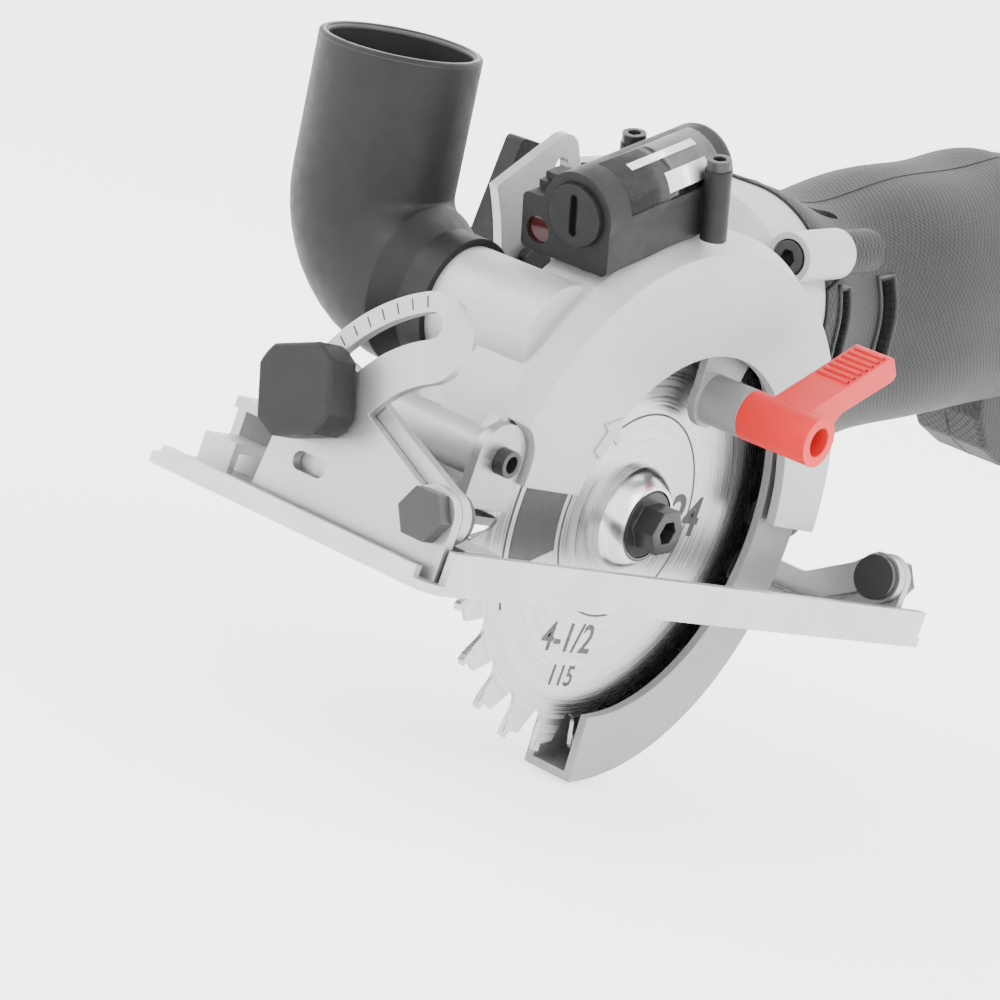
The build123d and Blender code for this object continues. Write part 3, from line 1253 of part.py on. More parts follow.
def make_grip_parts():
    with BuildPart() as switch:
        with BuildSketch(side(MOTOR_X - 8, sum(SWITCH_Y) / 2, 27)):
            RectangleRounded(SWITCH_Y[1] - SWITCH_Y[0], 14, 1)
        extrude(amount=16)
        with BuildSketch(deck(20, MOTOR_X, 270)):
            Rectangle(5, 7)
        extrude(amount=-3.4)
    save(switch, "switch_body")
    low = 27 - 7 - 4.0
    with BuildPart() as trigger:
        with BuildSketch(side(TRIGGER_X[0])):
            with BuildLine():
                y0, y1 = TRIGGER_Y
                Polyline((y0, low - TRIGGER_TRAVEL), (y1, low - TRIGGER_TRAVEL), (y1, 2.0))
                ThreePointArc((y1, 2.0), ((y0 + y1) / 2, 0.5), (y0 + 5, -7.0))
                Polyline((y0 + 5, -7.0), (y0, -6.0), (y0, low - TRIGGER_TRAVEL))
            make_face()
        extrude(amount=TRIGGER_X[1] - TRIGGER_X[0])
        fillet(trigger.edges().group_by(Axis.Z)[0], 1.5)
    save(trigger, "trigger")
    inner_x = MOTOR_X + 11.3
    with BuildPart() as button:
        with BuildSketch(side(inner_x, *LOCKOFF_AT)):
            Circle(LOCKOFF_R)
        extrude(amount=MOTOR_X + 24.5 - inner_x)
        fillet(button.edges().sort_by(Axis.X)[-1], 1.2)
        with BuildSketch(side(inner_x, *LOCKOFF_AT)):
            Circle(LOCKOFF_R + 1.1)
        extrude(amount=1.5)
    save(button, "lock_off_button")
    with BuildPart() as gland:
        with BuildSketch(cross(344, MOTOR_X, GRIP[-1][1])):
            Circle(GLAND_R)
        extrude(amount=14)
        with BuildSketch(cross(346, MOTOR_X, GRIP[-1][1])):
            Circle(GLAND_R + 2)
        extrude(amount=3)
        with BuildSketch(cross(347, MOTOR_X, GRIP[-1][1])):
            Circle(CORD_R)
        extrude(amount=20, mode=Mode.SUBTRACT)
    save(gland, "cord_gland")


# ---------------------------------------------------------------- lower guard
LOWER_BACK = GUARD_BACK + GUARD_WALL + GAP + 0.1
LOWER_FACE = 5.2
LOWER_EDGE_R = 47.0
LOWER_SPAN = (-85.0, 75.0)
LEVER_AT = to_head(9.0, 31.0)
LEVER_BOSS_R = 5.85
LEVER_X = (16.0, 35.0)
LEVER_LEAN = 20.0


def make_lower_guard():
    """Swinging guard: a channel round the blade's rim, a hub on the nose and a lever boss."""
    with BuildPart() as guard:
        with BuildSketch(base_side(LOWER_BACK)):
            add(ring_sector(NOSE_R + RUN, LOWER_R, *LOWER_SPAN))
        extrude(amount=LOWER_FACE - LOWER_BACK)
        with BuildSketch(base_side(LOWER_BACK + LOWER_WALL)):
            add(ring_sector(NOSE_R - 2, LOWER_R - LOWER_WALL, LOWER_SPAN[0] - 5, LOWER_SPAN[1] + 5))
        extrude(amount=LOWER_FACE - LOWER_BACK - 2 * LOWER_WALL, mode=Mode.SUBTRACT)
        with BuildSketch(base_side(LOWER_FACE - LOWER_WALL - 1)):
            add(ring_sector(NOSE_R - 2, LOWER_EDGE_R, LOWER_SPAN[0] - 5, LOWER_SPAN[1] + 5))
        extrude(amount=LOWER_WALL + 2, mode=Mode.SUBTRACT)
        with BuildSketch(base_side(LOWER_BACK)):
            Circle(NOSE_R + 6)
            Circle(NOSE_R + RUN, mode=Mode.SUBTRACT)
        extrude(amount=LOWER_WALL)
        # arm and boss that carry the lever
        with BuildSketch(side(LOWER_FACE - LOWER_WALL)):
            with BuildLine():
                ly, lz = LEVER_AT
                reach = polar(LOWER_EDGE_R + 4, degrees(atan2(lz, ly)) + 16)
                back = polar(LOWER_EDGE_R + 4, degrees(atan2(lz, ly)) - 8)
                Polyline((ly - 6.5, lz - 2), reach, back, (ly + 6.5, lz - 2), (ly - 6.5, lz - 2))
            make_face()
            with Locations(LEVER_AT):
                Circle(LEVER_BOSS_R + 1)
        extrude(amount=LOWER_WALL)
        with BuildSketch(side(LOWER_FACE - LOWER_WALL, *LEVER_AT)):
            Circle(LEVER_BOSS_R)
        extrude(amount=LEVER_X[0] - LOWER_FACE + LOWER_WALL)
        with BuildSketch(side(LOWER_FACE, *LEVER_AT)):
            Circle(1.5)
        extrude(amount=20, mode=Mode.SUBTRACT)
    save(guard, "lower_guard")
    with BuildPart() as lever:
        with BuildSketch(side(LEVER_X[0], *LEVER_AT)):
            Circle(LEVER_BOSS_R)
        extrude(amount=LEVER_X[1] - LEVER_X[0])
        arm = Plane(origin=head_point(LEVER_X[0] + 5, *LEVER_AT), x_dir=HEAD_Y, z_dir=X_DIR)
        with BuildSketch(arm):
            with BuildLine():
                Polyline(polar(5.8, LEVER_LEAN + 88), polar(34, LEVER_LEAN + 9), polar(35, LEVER_LEAN - 2),
                         polar(14, LEVER_LEAN - 2), polar(5.8, LEVER_LEAN - 60), polar(5.8, LEVER_LEAN + 88))
            make_face()
            fillet(vertices().sort_by(Axis.X)[-2:], 1.5)
        extrude(amount=10.0)
        with BuildSketch(side(LEVER_X[0] - 1, *LEVER_AT)):
            Circle(1.6)
        extrude(amount=30, mode=Mode.SUBTRACT)
        with BuildSketch(side(LEVER_X[0] + 7, *LEVER_AT)):
            Circle(3.4)
        extrude(amount=30, mode=Mode.SUBTRACT)
    save(lever, "guard_lever")
    with BuildPart() as screw:
        add(rod(side(LOWER_FACE + 1, *LEVER_AT), 1.48, LEVER_X[0] + 7 - LOWER_FACE - 1))
        add(rod(side(LEVER_X[0] + 7, *LEVER_AT), 3.0, 2.6))
        with BuildSketch(side(LEVER_X[0] + 9.7, *LEVER_AT)):
            Rectangle(3.6, 0.8)
            Rectangle(0.8, 3.6)
        extrude(amount=-1.6, mode=Mode.SUBTRACT)
    save(screw, "lever_screw")


def make_guard_hardware():
    with BuildPart() as retainer:
        with BuildSketch(base_side(NOSE_END)):
            Circle(NOSE_R + 1.4)
            Circle(11.6, mode=Mode.SUBTRACT)
        extrude(amount=0.6)
    save(retainer, "guard_retainer")
    spring_x = LOWER_BACK + LOWER_WALL + 0.55
    with BuildPart() as spring:
        with BuildSketch(Plane(origin=ARBOR, x_dir=X_DIR, z_dir=(0, -1, 0))):
            with Locations((spring_x, NOSE_R + 2.4)):
                Circle(0.4)
        revolve(axis=Axis(ARBOR, X_DIR), revolution_arc=330)
    save(spring, "guard_return_spring")
    with BuildPart() as screws:
        for k in range(3):
            y, z = polar(GUARD_BOLT_R, 30 + 120 * k)
            add(rod(base_side(GUARD_BACK - 2.0, y, z), SCREW_R - 0.02, 2.0 + GUARD_WALL))
    save(screws, "guard_screws")


def elbow_body(inset):
    """Outlet tube, quarter bend and taper to the collar, or their hollow when inset."""
    r = ELBOW_R - inset
    bend_end = ELBOW_X + ELBOW_BEND
    small_r = CHUTE_R + RUN if inset else COLLAR_R
    taper_end = CHUTE_X[0] if inset else CHUTE_X[0] + 3.0
    pivot = head_point(bend_end, CHUTE_Y, CHUTE_Z) + HEAD_Z * ELBOW_BEND
    with BuildPart() as body:
        with BuildSketch(deck(CHUTE_Z + ELBOW_BEND, ELBOW_X, CHUTE_Y)):
            Circle(r)
        extrude(amount=ELBOW_TOP - ELBOW_BEND + (1 if inset else 0))
        with BuildSketch(deck(CHUTE_Z + ELBOW_BEND, ELBOW_X, CHUTE_Y)):
            Circle(r)
        revolve(axis=Axis(pivot, HEAD_Y * -1), revolution_arc=90)
        with BuildSketch(side(bend_end, CHUTE_Y, CHUTE_Z)):
            Circle(r)
        with BuildSketch(side(taper_end, CHUTE_Y, CHUTE_Z)):
            Circle(small_r)
        loft()
        with BuildSketch(side(taper_end, CHUTE_Y, CHUTE_Z)):
            Circle(small_r)
        extrude(amount=COLLAR_END - taper_end + (1 if inset else 0))
    return body.part


def make_dust_elbow():
    """Swivelling elbow on the chute: a sleeve, a quarter bend and a wide outlet."""
    with BuildPart() as elbow:
        add(elbow_body(0.0))
        add(elbow_body(ELBOW_WALL), mode=Mode.SUBTRACT)
        mouth = elbow.faces().sort_by(Axis(head_point(ELBOW_X, CHUTE_Y, CHUTE_Z), HEAD_Z))[-1]
        fillet(mouth.edges(), 0.8)
    save(elbow, "dust_elbow")


# ---------------------------------------------------------------- laser guide
LASER_TILT = 13.7
LASER_BASE = (0.0, -37.4, 60.5)      # front lower edge in the head's frame
LASER_L = 37.0
TUBE_L = 44.0
LASER_X = (-18.0, 6.0)
LASER_H = 13.0
TUBE_R = 9.3
TUBE_AT = (-3.0, 12.0)               # battery tube: X, and height above the unit's base
CELL_R = 5.8


def laser_cross(y, x=0.0, z=0.0):
    """Plane square to the laser unit's length, y back from its front; normal to the front."""
    c, s = cos(radians(LASER_TILT)), sin(radians(LASER_TILT))
    along = HEAD_Y * c + HEAD_Z * s
    up = HEAD_Z * c - HEAD_Y * s
    origin = head_point(*LASER_BASE) + along * y + up * z + X_DIR * x
    return Plane(origin=origin, x_dir=X_DIR, z_dir=along * -1)


def laser_deck(z, x=0.0, y=0.0):
    c, s = cos(radians(LASER_TILT)), sin(radians(LASER_TILT))
    along = HEAD_Y * c + HEAD_Z * s
    up = HEAD_Z * c - HEAD_Y * s
    origin = head_point(*LASER_BASE) + along * y + up * z + X_DIR * x
    return Plane(origin=origin, x_dir=X_DIR, z_dir=up)


def make_laser():
    mid_x = sum(LASER_X) / 2
    with BuildPart() as body:
        with BuildSketch(laser_cross(LASER_L)):
            with Locations((mid_x, LASER_H / 2)):
                RectangleRounded(LASER_X[1] - LASER_X[0], LASER_H, 1.6)
        extrude(amount=LASER_L)
        with BuildSketch(laser_cross(TUBE_L, *TUBE_AT)):
            Circle(TUBE_R)
        extrude(amount=TUBE_L)
        tube_end = laser_cross(TUBE_L, *TUBE_AT)
        back = body.faces().sort_by(Axis(tube_end.origin, tube_end.z_dir * -1))[-1]
        fillet(back.edges(), 3.0)
        for x, y, tall in ((8.6, 33.5, LASER_H + 3.5), (-15.0, 33.5, LASER_H + 2.5)):
            with BuildSketch(laser_deck(0.0, x, y)):
                Circle(3.0)
            extrude(amount=tall)
        with BuildSketch(laser_deck(LASER_H, -14.0, 9.0)):
            Rectangle(6.0, 10.0)
        extrude(amount=1.6)
        # saddle that sits on the guard's rim and chute
        with BuildSketch(base_side(GUARD_BACK - 20)):
            Circle(GUARD_R + 0.1)
        extrude(amount=50, mode=Mode.SUBTRACT)
        with BuildSketch(side(CHUTE_X[0], CHUTE_Y, CHUTE_Z)):
            Circle(CHUTE_R + 0.1)
        extrude(amount=60, mode=Mode.SUBTRACT)
        # bores: cells with their cap, emitter, screws and the slider's track
        with BuildSketch(laser_cross(TUBE_L - 11.0, *TUBE_AT)):
            Circle(CELL_R + 0.1)
        extrude(amount=40, mode=Mode.SUBTRACT)
        with BuildSketch(laser_cross(4.0, *TUBE_AT)):
            Circle(7.0 + RUN)
        extrude(amount=6, mode=Mode.SUBTRACT)
        with BuildSketch(laser_cross(16.0, -13.5, 5.0)):
            Circle(3.1)
        extrude(amount=20, mode=Mode.SUBTRACT)
        for x, y in ((8.6, 33.5), (-15.0, 33.5)):
            with BuildSketch(laser_deck(-1.0, x, y)):
                Circle(1.5)
            extrude(amount=30, mode=Mode.SUBTRACT)
        with BuildSketch(laser_deck(LASER_H - 1.0, -14.0, 9.0)):
            Rectangle(3.2, 7.6)
        extrude(amount=5, mode=Mode.SUBTRACT)
    save(body, "laser_housing")
    with BuildPart() as module:
        add(rod(laser_cross(15.8, -13.5, 5.0), 3.0, 15.0))
    save(module, "laser_module")
    with BuildPart() as cells:
        for k in range(5):
            y = TUBE_L - 11.2 - k * 5.5
            add(rod(laser_cross(y, *TUBE_AT), CELL_R, 5.4))
    save(cells, "button_cells")
    with BuildPart() as cap:
        add(rod(laser_cross(3.9, *TUBE_AT), 7.0, 5.2))
        with BuildSketch(laser_cross(-1.3, *TUBE_AT)):
            SlotOverall(9.5, 2.0, rotation=90)
        extrude(amount=-2.0, mode=Mode.SUBTRACT)
    save(cap, "battery_cap")
    with BuildPart() as slider:
        with BuildSketch(laser_deck(LASER_H - 0.7, -14.0, 7.5)):
            Rectangle(3.0, 4.4)
        extrude(amount=2.6)
        with BuildSketch(laser_deck(LASER_H + 1.9, -14.1, 7.5)):
            Rectangle(4.0, 5.0)
        extrude(amount=1.6)
    save(slider, "laser_switch")
    with BuildPart() as screws:
        for x, y, top in ((8.6, 33.5, LASER_H + 3.5), (-15.0, 33.5, LASER_H + 2.5)):
            add(rod(laser_deck(2.0, x, y), 1.48, top - 2.0))
            add(rod(laser_deck(top, x, y), 2.7, 2.4))
            with BuildSketch(laser_deck(top + 2.5, x, y)):
                RegularPolygon(1.4, 6, major_radius=False)
            extrude(amount=-1.6, mode=Mode.SUBTRACT)
    save(screws, "laser_screws")


def make_spindle_lock():
    """Sprung button on top of the gear case that drops into a flat of the spindle gear."""
    top = 24.0
    with BuildPart() as button:
        with BuildSketch(deck(13.0, *LOCK_AT)):
            Circle(2.0)
        extrude(amount=6.0)
        with BuildSketch(deck(19.0, *LOCK_AT)):
            Circle(LOCK_R)
        extrude(amount=top + 6 - 19.0)
        fillet(button.edges().group_by(Axis.Z)[-1], 0.8)
    save(button, "spindle_lock_button")


make_base_plate()
make_bevel_quadrant()
make_rear_pivot_bracket()
make_bracket_rivets()
make_tilt_frame()
make_bevel_pivot_pins()
make_bevel_bolt()
make_bevel_knob()
make_depth_pivot_pin()
make_depth_bolt()
make_depth_knob()
make_upper_guard()
make_gear_case()
make_depth_plate()
make_depth_plate_screws()
make_blade()
make_carbide_tips()
make_flanges_and_bolt()
make_spindle_group()
make_layshaft_group()
make_armature_group()
make_bearings()
make_bearing_plate()
make_motor_stator()
make_housing()
make_housing_screws()
make_grip_parts()
make_lower_guard()
make_guard_hardware()
make_dust_elbow()
make_laser()
make_spindle_lock()
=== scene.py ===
"""Looks of the compact circular saw: finishes for its real parts, and the printed,
raised and moulded detail that lies on them."""
import json
import math

import bmesh
import bpy
from mathutils import Matrix, Vector
from mathutils.bvhtree import BVHTree

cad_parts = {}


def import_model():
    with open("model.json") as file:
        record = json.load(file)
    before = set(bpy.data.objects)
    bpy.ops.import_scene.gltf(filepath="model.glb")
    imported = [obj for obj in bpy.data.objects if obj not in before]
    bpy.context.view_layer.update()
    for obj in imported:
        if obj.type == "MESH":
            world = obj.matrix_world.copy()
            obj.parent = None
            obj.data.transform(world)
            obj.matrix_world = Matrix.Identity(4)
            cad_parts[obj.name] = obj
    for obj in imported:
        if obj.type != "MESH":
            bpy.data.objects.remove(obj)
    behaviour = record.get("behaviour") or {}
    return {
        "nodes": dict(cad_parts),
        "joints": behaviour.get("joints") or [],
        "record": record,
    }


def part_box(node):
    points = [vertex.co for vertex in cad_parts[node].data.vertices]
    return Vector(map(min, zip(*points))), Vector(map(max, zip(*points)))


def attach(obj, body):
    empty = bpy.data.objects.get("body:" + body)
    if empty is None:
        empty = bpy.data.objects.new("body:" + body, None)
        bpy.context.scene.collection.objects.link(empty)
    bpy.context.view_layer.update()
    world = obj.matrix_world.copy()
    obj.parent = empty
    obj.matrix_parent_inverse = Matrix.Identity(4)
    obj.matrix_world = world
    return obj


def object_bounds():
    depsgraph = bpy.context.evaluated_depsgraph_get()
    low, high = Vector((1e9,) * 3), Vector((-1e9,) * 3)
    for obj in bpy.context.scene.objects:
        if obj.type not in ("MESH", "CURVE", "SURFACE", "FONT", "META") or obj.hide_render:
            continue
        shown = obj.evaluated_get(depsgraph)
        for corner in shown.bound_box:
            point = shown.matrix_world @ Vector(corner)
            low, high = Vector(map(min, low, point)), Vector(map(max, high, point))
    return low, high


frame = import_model()
cad_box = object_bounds()

# ------------------------------------------------------------------ the saw's own directions
MM = 0.001
JOINTS = {joint["name"]: joint for joint in frame["joints"]}
ARBOR = Vector(JOINTS["blade_spin"]["pos_m"])
ACROSS = Vector((1, 0, 0))
ALONG = Vector(JOINTS["layshaft_spin"]["axis"]).normalized()
UP = ACROSS.cross(ALONG)
MOTOR = Vector(JOINTS["armature_spin"]["pos_m"])
BEVEL_AXIS = Vector(JOINTS["bevel"]["pos_m"])
Y_AXIS, Z_AXIS = Vector((0, 1, 0)), Vector((0, 0, 1))
BLADE_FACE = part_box("blade")[1].x - ARBOR.x

CLEAR = 0.09    # distance from an axis at which a ray towards the housing starts

# Millimetres in the leaning head, measured from the arbor.
MOTOR_Y = 100.0    # where the motor's joint stands
BARREL_X, BARREL_Z = -45, 20    # middle of the barrel grip
BARREL_R = 34.0    # radius on which the barrel's lattice is laid out
MOUTH_Y = 82.6    # joint between the housing and the gear case
OUTLET_X, OUTLET_Y = -58, -41.6    # middle of the dust outlet
OUTLET_TOP = 44.6 + 49.0    # height of the outlet's lip
OUTLET_LIP_R = 17.25    # middle of the lip's wall
TUBE_R = 9.3    # outside of the laser's tube


def head(x, y, z):
    """Point in the leaning head: across, along and above the arbor, in millimetres."""
    return ARBOR + (ACROSS * x + ALONG * y + UP * z) * MM


def upright(x, y, z):
    """Point beside the arbor in the sole's upright directions, in millimetres."""
    return ARBOR + Vector((x, y, z)) * MM


# ------------------------------------------------------------------ finishes
class Finish:
    """A material being built: its node tree, its shader and small helpers for wiring."""

    def __init__(self, name, colour, rough, metal=0.0):
        self.material = bpy.data.materials.new(name)
        self.material.use_nodes = True
        self.material.diffuse_color = (*colour, 1)
        self.tree = self.material.node_tree
        self.shader = self.tree.nodes["Principled BSDF"]
        self.shader.inputs["Base Color"].default_value = (*colour, 1)
        self.shader.inputs["Roughness"].default_value = rough
        self.shader.inputs["Metallic"].default_value = metal
        self.colour = colour
        self.place = self.add("ShaderNodeTexCoord").outputs["Object"]

    def add(self, kind, **settings):
        node = self.tree.nodes.new(kind)
        for key, value in settings.items():
            setattr(node, key, value)
        return node

    def wire(self, source, target):
        self.tree.links.new(source, target)

    def maths(self, operation, first, second=0.0, third=None):
        node = self.add("ShaderNodeMath", operation=operation)
        for slot, value in zip(node.inputs, (first, second, third)):
            if value is None:
                continue
            if isinstance(value, (int, float)):
                slot.default_value = value
            else:
                self.wire(value, slot)
        return node.outputs[0]

    def vector(self, operation, first, second):
        node = self.add("ShaderNodeVectorMath", operation=operation)
        for slot, value in zip(node.inputs, (first, second)):
            if isinstance(value, (tuple, Vector)):
                slot.default_value = value
            else:
                self.wire(value, slot)
        return node.outputs["Value"] if operation in ("DOT_PRODUCT", "LENGTH") else node.outputs[0]

    def noise(self, scale, detail=3.0, place=None, stretch=None):
        place = place or self.place
        if stretch:
            mapping = self.add("ShaderNodeMapping")
            mapping.inputs["Scale"].default_value = stretch
            self.wire(place, mapping.inputs["Vector"])
            place = mapping.outputs[0]
        node = self.add("ShaderNodeTexNoise")
        node.inputs["Scale"].default_value = scale
        node.inputs["Detail"].default_value = detail
        self.wire(place, node.inputs["Vector"])
        return node.outputs["Fac"]

    def between(self, factor, low, high, start=0.3, stop=0.7):
        """Number that goes from low to high as factor goes from start to stop."""
        node = self.add("ShaderNodeMapRange")
        self.wire(factor, node.inputs["Value"])
        for key, value in (("From Min", start), ("From Max", stop), ("To Min", low), ("To Max", high)):
            node.inputs[key].default_value = value
        return node.outputs[0]

    def mix(self, factor, first, second):
        node = self.add("ShaderNodeMix", data_type="RGBA")
        self.wire(factor, node.inputs["Factor"])
        for slot, value in ((node.inputs[6], first), (node.inputs[7], second)):
            if isinstance(value, tuple):
                slot.default_value = (*value, 1)
            else:
                self.wire(value, slot)
        return node.outputs[2]

    def shade(self, amount):
        return tuple(min(1.0, c * amount) for c in self.colour)

    def paint(self, colour):
        self.wire(colour, self.shader.inputs["Base Color"])

    def gloss(self, rough):
        self.wire(rough, self.shader.inputs["Roughness"])

    def relief(self, heights, edge=0.35):
        """Bumps from (height, distance in mm) pairs over edges that look rounded."""
        rounded = self.add("ShaderNodeBevel", samples=4)
        rounded.inputs["Radius"].default_value = edge * MM
        normal = rounded.outputs[0]
        for height, distance in heights:
            bump = self.add("ShaderNodeBump")
            bump.inputs["Distance"].default_value = distance * MM
            self.wire(height, bump.inputs["Height"])
            self.wire(normal, bump.inputs["Normal"])
            normal = bump.outputs[0]
        self.wire(normal, self.shader.inputs["Normal"])

    def edge_wear_and_highlight(self, radius=0.6):
        """1 on outer edges and 0 on open faces, from how far the rounded normal turns; it lightens
        edges for rubbed wear on castings and as a painted highlight on plastic and plated steel.
        """
        rounded = self.add("ShaderNodeBevel", samples=4)
        rounded.inputs["Radius"].default_value = radius * MM
        plain = self.add("ShaderNodeNewGeometry").outputs["Normal"]
        same = self.vector("DOT_PRODUCT", rounded.outputs[0], plain)
        return self.between(same, 1.0, 0.0, 0.75, 0.98)


def cast_finish(name, colour, rough, metal, grain=0.05, edge_light=1.18):
    """Painted or blasted casting: fine pebble, soft clouding and lighter rubbed edges."""
    f = Finish(name, colour, rough, metal)
    cloud = f.noise(38.0, 4.0)
    pebble = f.noise(2600.0, 2.0)
    coarse = f.noise(700.0, 2.0)
    base = f.mix(f.between(cloud, 0.0, 1.0), f.shade(0.93), f.shade(1.05))
    specked = f.mix(f.between(pebble, 0.0, 0.35, 0.45, 0.75), base, f.shade(0.80))
    f.paint(f.mix(f.maths("MULTIPLY", f.edge_wear_and_highlight(), 0.55), specked, f.shade(edge_light)))
    f.gloss(f.between(coarse, rough - 0.05, rough + 0.08))
    f.relief([(pebble, grain), (coarse, grain * 1.2)], 0.5)
    return f.material


def moulded_finish(name, colour, rough, grain=0.03, size=1500.0, edge_light=1.5, shine=0.22):
    """Moulded plastic: spark-eroded grain, faint flow marks and slightly polished edges, whose lighter
    colour is a painted sheen.
    """
    f = Finish(name, colour, rough)
    f.shader.inputs["Specular IOR Level"].default_value = shine
    flow = f.noise(22.0, 3.0, stretch=(1.0, 0.35, 1.0))
    grains = f.noise(size, 3.0)
    base = f.mix(f.between(flow, 0.0, 1.0), f.shade(0.88), f.shade(1.12))
    # edges painted lighter: a painted sheen where the rounded edges catch light
    f.paint(f.mix(f.maths("MULTIPLY", f.edge_wear_and_highlight(), 0.5), base, f.shade(edge_light)))
    f.gloss(f.between(f.noise(240.0), rough - 0.06, rough + 0.07))
    f.relief([(grains, grain)], 0.45)
    return f.material


def plated_finish(name, colour, rough, stretch=(1.0, 0.05, 1.0), metal=0.85):
    """Plated or rolled steel: fine lines of rolling, blotchy plating and edges painted brighter as a
    painted highlight.
    """
    f = Finish(name, colour, rough, metal)
    lines = f.noise(1800.0, 2.0, stretch=stretch)
    blotch = f.noise(95.0, 5.0)
    base = f.mix(f.between(blotch, 0.0, 1.0), f.shade(0.9), f.shade(1.06))
    # edges painted lighter: a painted highlight
    f.paint(f.mix(f.maths("MULTIPLY", f.edge_wear_and_highlight(0.4), 0.6), base, f.shade(1.2)))
    f.gloss(f.between(lines, rough - 0.07, rough + 0.12))
    f.relief([(lines, 0.012), (blotch, 0.02)], 0.3)
    return f.material


def turned_finish(name, colour, rough, rings, line):
    """Metal ground or turned about the arbor: rings at every radius."""
    f = Finish(name, colour, rough, 1.0)
    arm = f.vector("SUBTRACT", f.place, tuple(ARBOR))
    flat = f.vector("MULTIPLY", arm, (0.0, 1.0, 1.0))
    radius = f.vector("LENGTH", flat, (0.0, 0.0, 0.0))
    around = f.add("ShaderNodeCombineXYZ")
    f.wire(radius, around.inputs["X"])
    wobble = f.noise(9.0, 1.0)
    f.wire(f.maths("MULTIPLY", wobble, 0.0016), around.inputs["Y"])
    ring = f.noise(rings, 5.0, around.outputs[0])
    broad = f.noise(rings / 9.0, 2.0, around.outputs[0])
    base = f.mix(f.between(ring, 0.0, 1.0, 0.35, 0.65), f.shade(0.80), f.shade(1.12))
    f.paint(f.mix(f.between(broad, 0.0, 0.35, 0.4, 0.65), base, f.shade(0.82)))
    f.gloss(f.between(ring, rough - 0.08, rough + 0.12))
    f.relief([(ring, line)], 0.2)
    spin = f.vector("CROSS_PRODUCT", flat, (1.0, 0.0, 0.0))
    f.shader.inputs["Anisotropic"].default_value = 0.65
    f.wire(spin, f.shader.inputs["Tangent"])
    return f.material


def motor_place(f):
    """Distance along the motor and arc length round it, both in metres."""
    arm = f.vector("SUBTRACT", f.place, tuple(MOTOR))
    along = f.vector("DOT_PRODUCT", arm, tuple(ALONG))
    across = f.vector("DOT_PRODUCT", arm, tuple(ACROSS))
    above = f.vector("DOT_PRODUCT", arm, tuple(UP))
    turn = f.maths("ARCTAN2", above, across)
    return along, f.maths("MULTIPLY", turn, BARREL_R * MM)


def diamond_finish(name, colour, rough, pitch=1.7, depth=0.24):
    """Soft moulding with a lattice of small diamonds that follows the barrel round; the grooves
    between the diamonds are painted darker as painted shade.
    """
    f = Finish(name, colour, rough)
    f.shader.inputs["Specular IOR Level"].default_value = 0.22
    along, arc = motor_place(f)
    step = math.pi / (pitch * MM)
    waves = []
    for sign in (1.0, -1.0):
        slant = f.maths("MULTIPLY_ADD", arc, 0.75 * sign, along)
        waves.append(f.maths("ABSOLUTE", f.maths("SINE", f.maths("MULTIPLY", slant, step))))
    lattice = f.maths("POWER", f.maths("MULTIPLY", waves[0], waves[1]), 0.5)
    grains = f.noise(1700.0, 2.0)
    dusty = f.mix(f.between(f.noise(26.0, 4.0), 0.0, 1.0), f.shade(0.85), f.shade(1.15))
    # grooves painted darker than the diamonds: painted shade in the recesses
    raised = f.mix(f.between(lattice, 0.0, 1.0, 0.15, 0.75), f.shade(0.62), dusty)
    f.paint(raised)
    f.gloss(f.between(lattice, rough + 0.12, rough - 0.04, 0.2, 0.8))
    f.relief([(f.between(lattice, 0.0, 1.0, 0.1, 0.6), depth), (grains, 0.02)], 0.6)
    return f.material


def stacked_finish(name, colour, rough, metal, pitch, depth):
    """Layers or turns stacked along the motor: laminations and windings, with painted shade in the
    grooves between them.
    """
    f = Finish(name, colour, rough, metal)
    along, _ = motor_place(f)
    layer = f.maths("ABSOLUTE", f.maths("SINE", f.maths("MULTIPLY", along, math.pi / (pitch * MM))))
    blotch = f.noise(120.0, 4.0)
    # the grooves between layers and turns are painted darker: painted shade
    base = f.mix(f.between(layer, 0.0, 1.0, 0.1, 0.7), f.shade(0.45), f.shade(1.05))
    f.paint(f.mix(f.between(blotch, 0.0, 0.3), base, f.shade(0.7)))
    f.gloss(f.between(blotch, rough - 0.05, rough + 0.1))
    f.relief([(layer, depth)], 0.2)
    return f.material


def lens_finish(name, colour):
    """Clear coated plastic with a faint swirl."""
    f = Finish(name, colour, 0.08)
    f.shader.inputs["Coat Weight"].default_value = 0.6
    swirl = f.noise(160.0, 2.0)
    f.paint(f.mix(f.between(swirl, 0.0, 1.0), f.shade(0.8), f.shade(1.1)))
    f.relief([(swirl, 0.01)], 0.2)
    return f.material


def print_finish(name, colour, rough=0.45):
    """Ink or foil laid on a surface, thin and a little uneven."""
    f = Finish(name, colour, rough)
    speck = f.noise(1400.0, 3.0)
    f.paint(f.mix(f.between(speck, 0.0, 0.5, 0.4, 0.8), f.colour, f.shade(1.35)))
    f.gloss(f.between(f.noise(300.0), rough - 0.08, rough + 0.1))
    f.relief([(speck, 0.008)], 0.15)
    return f.material


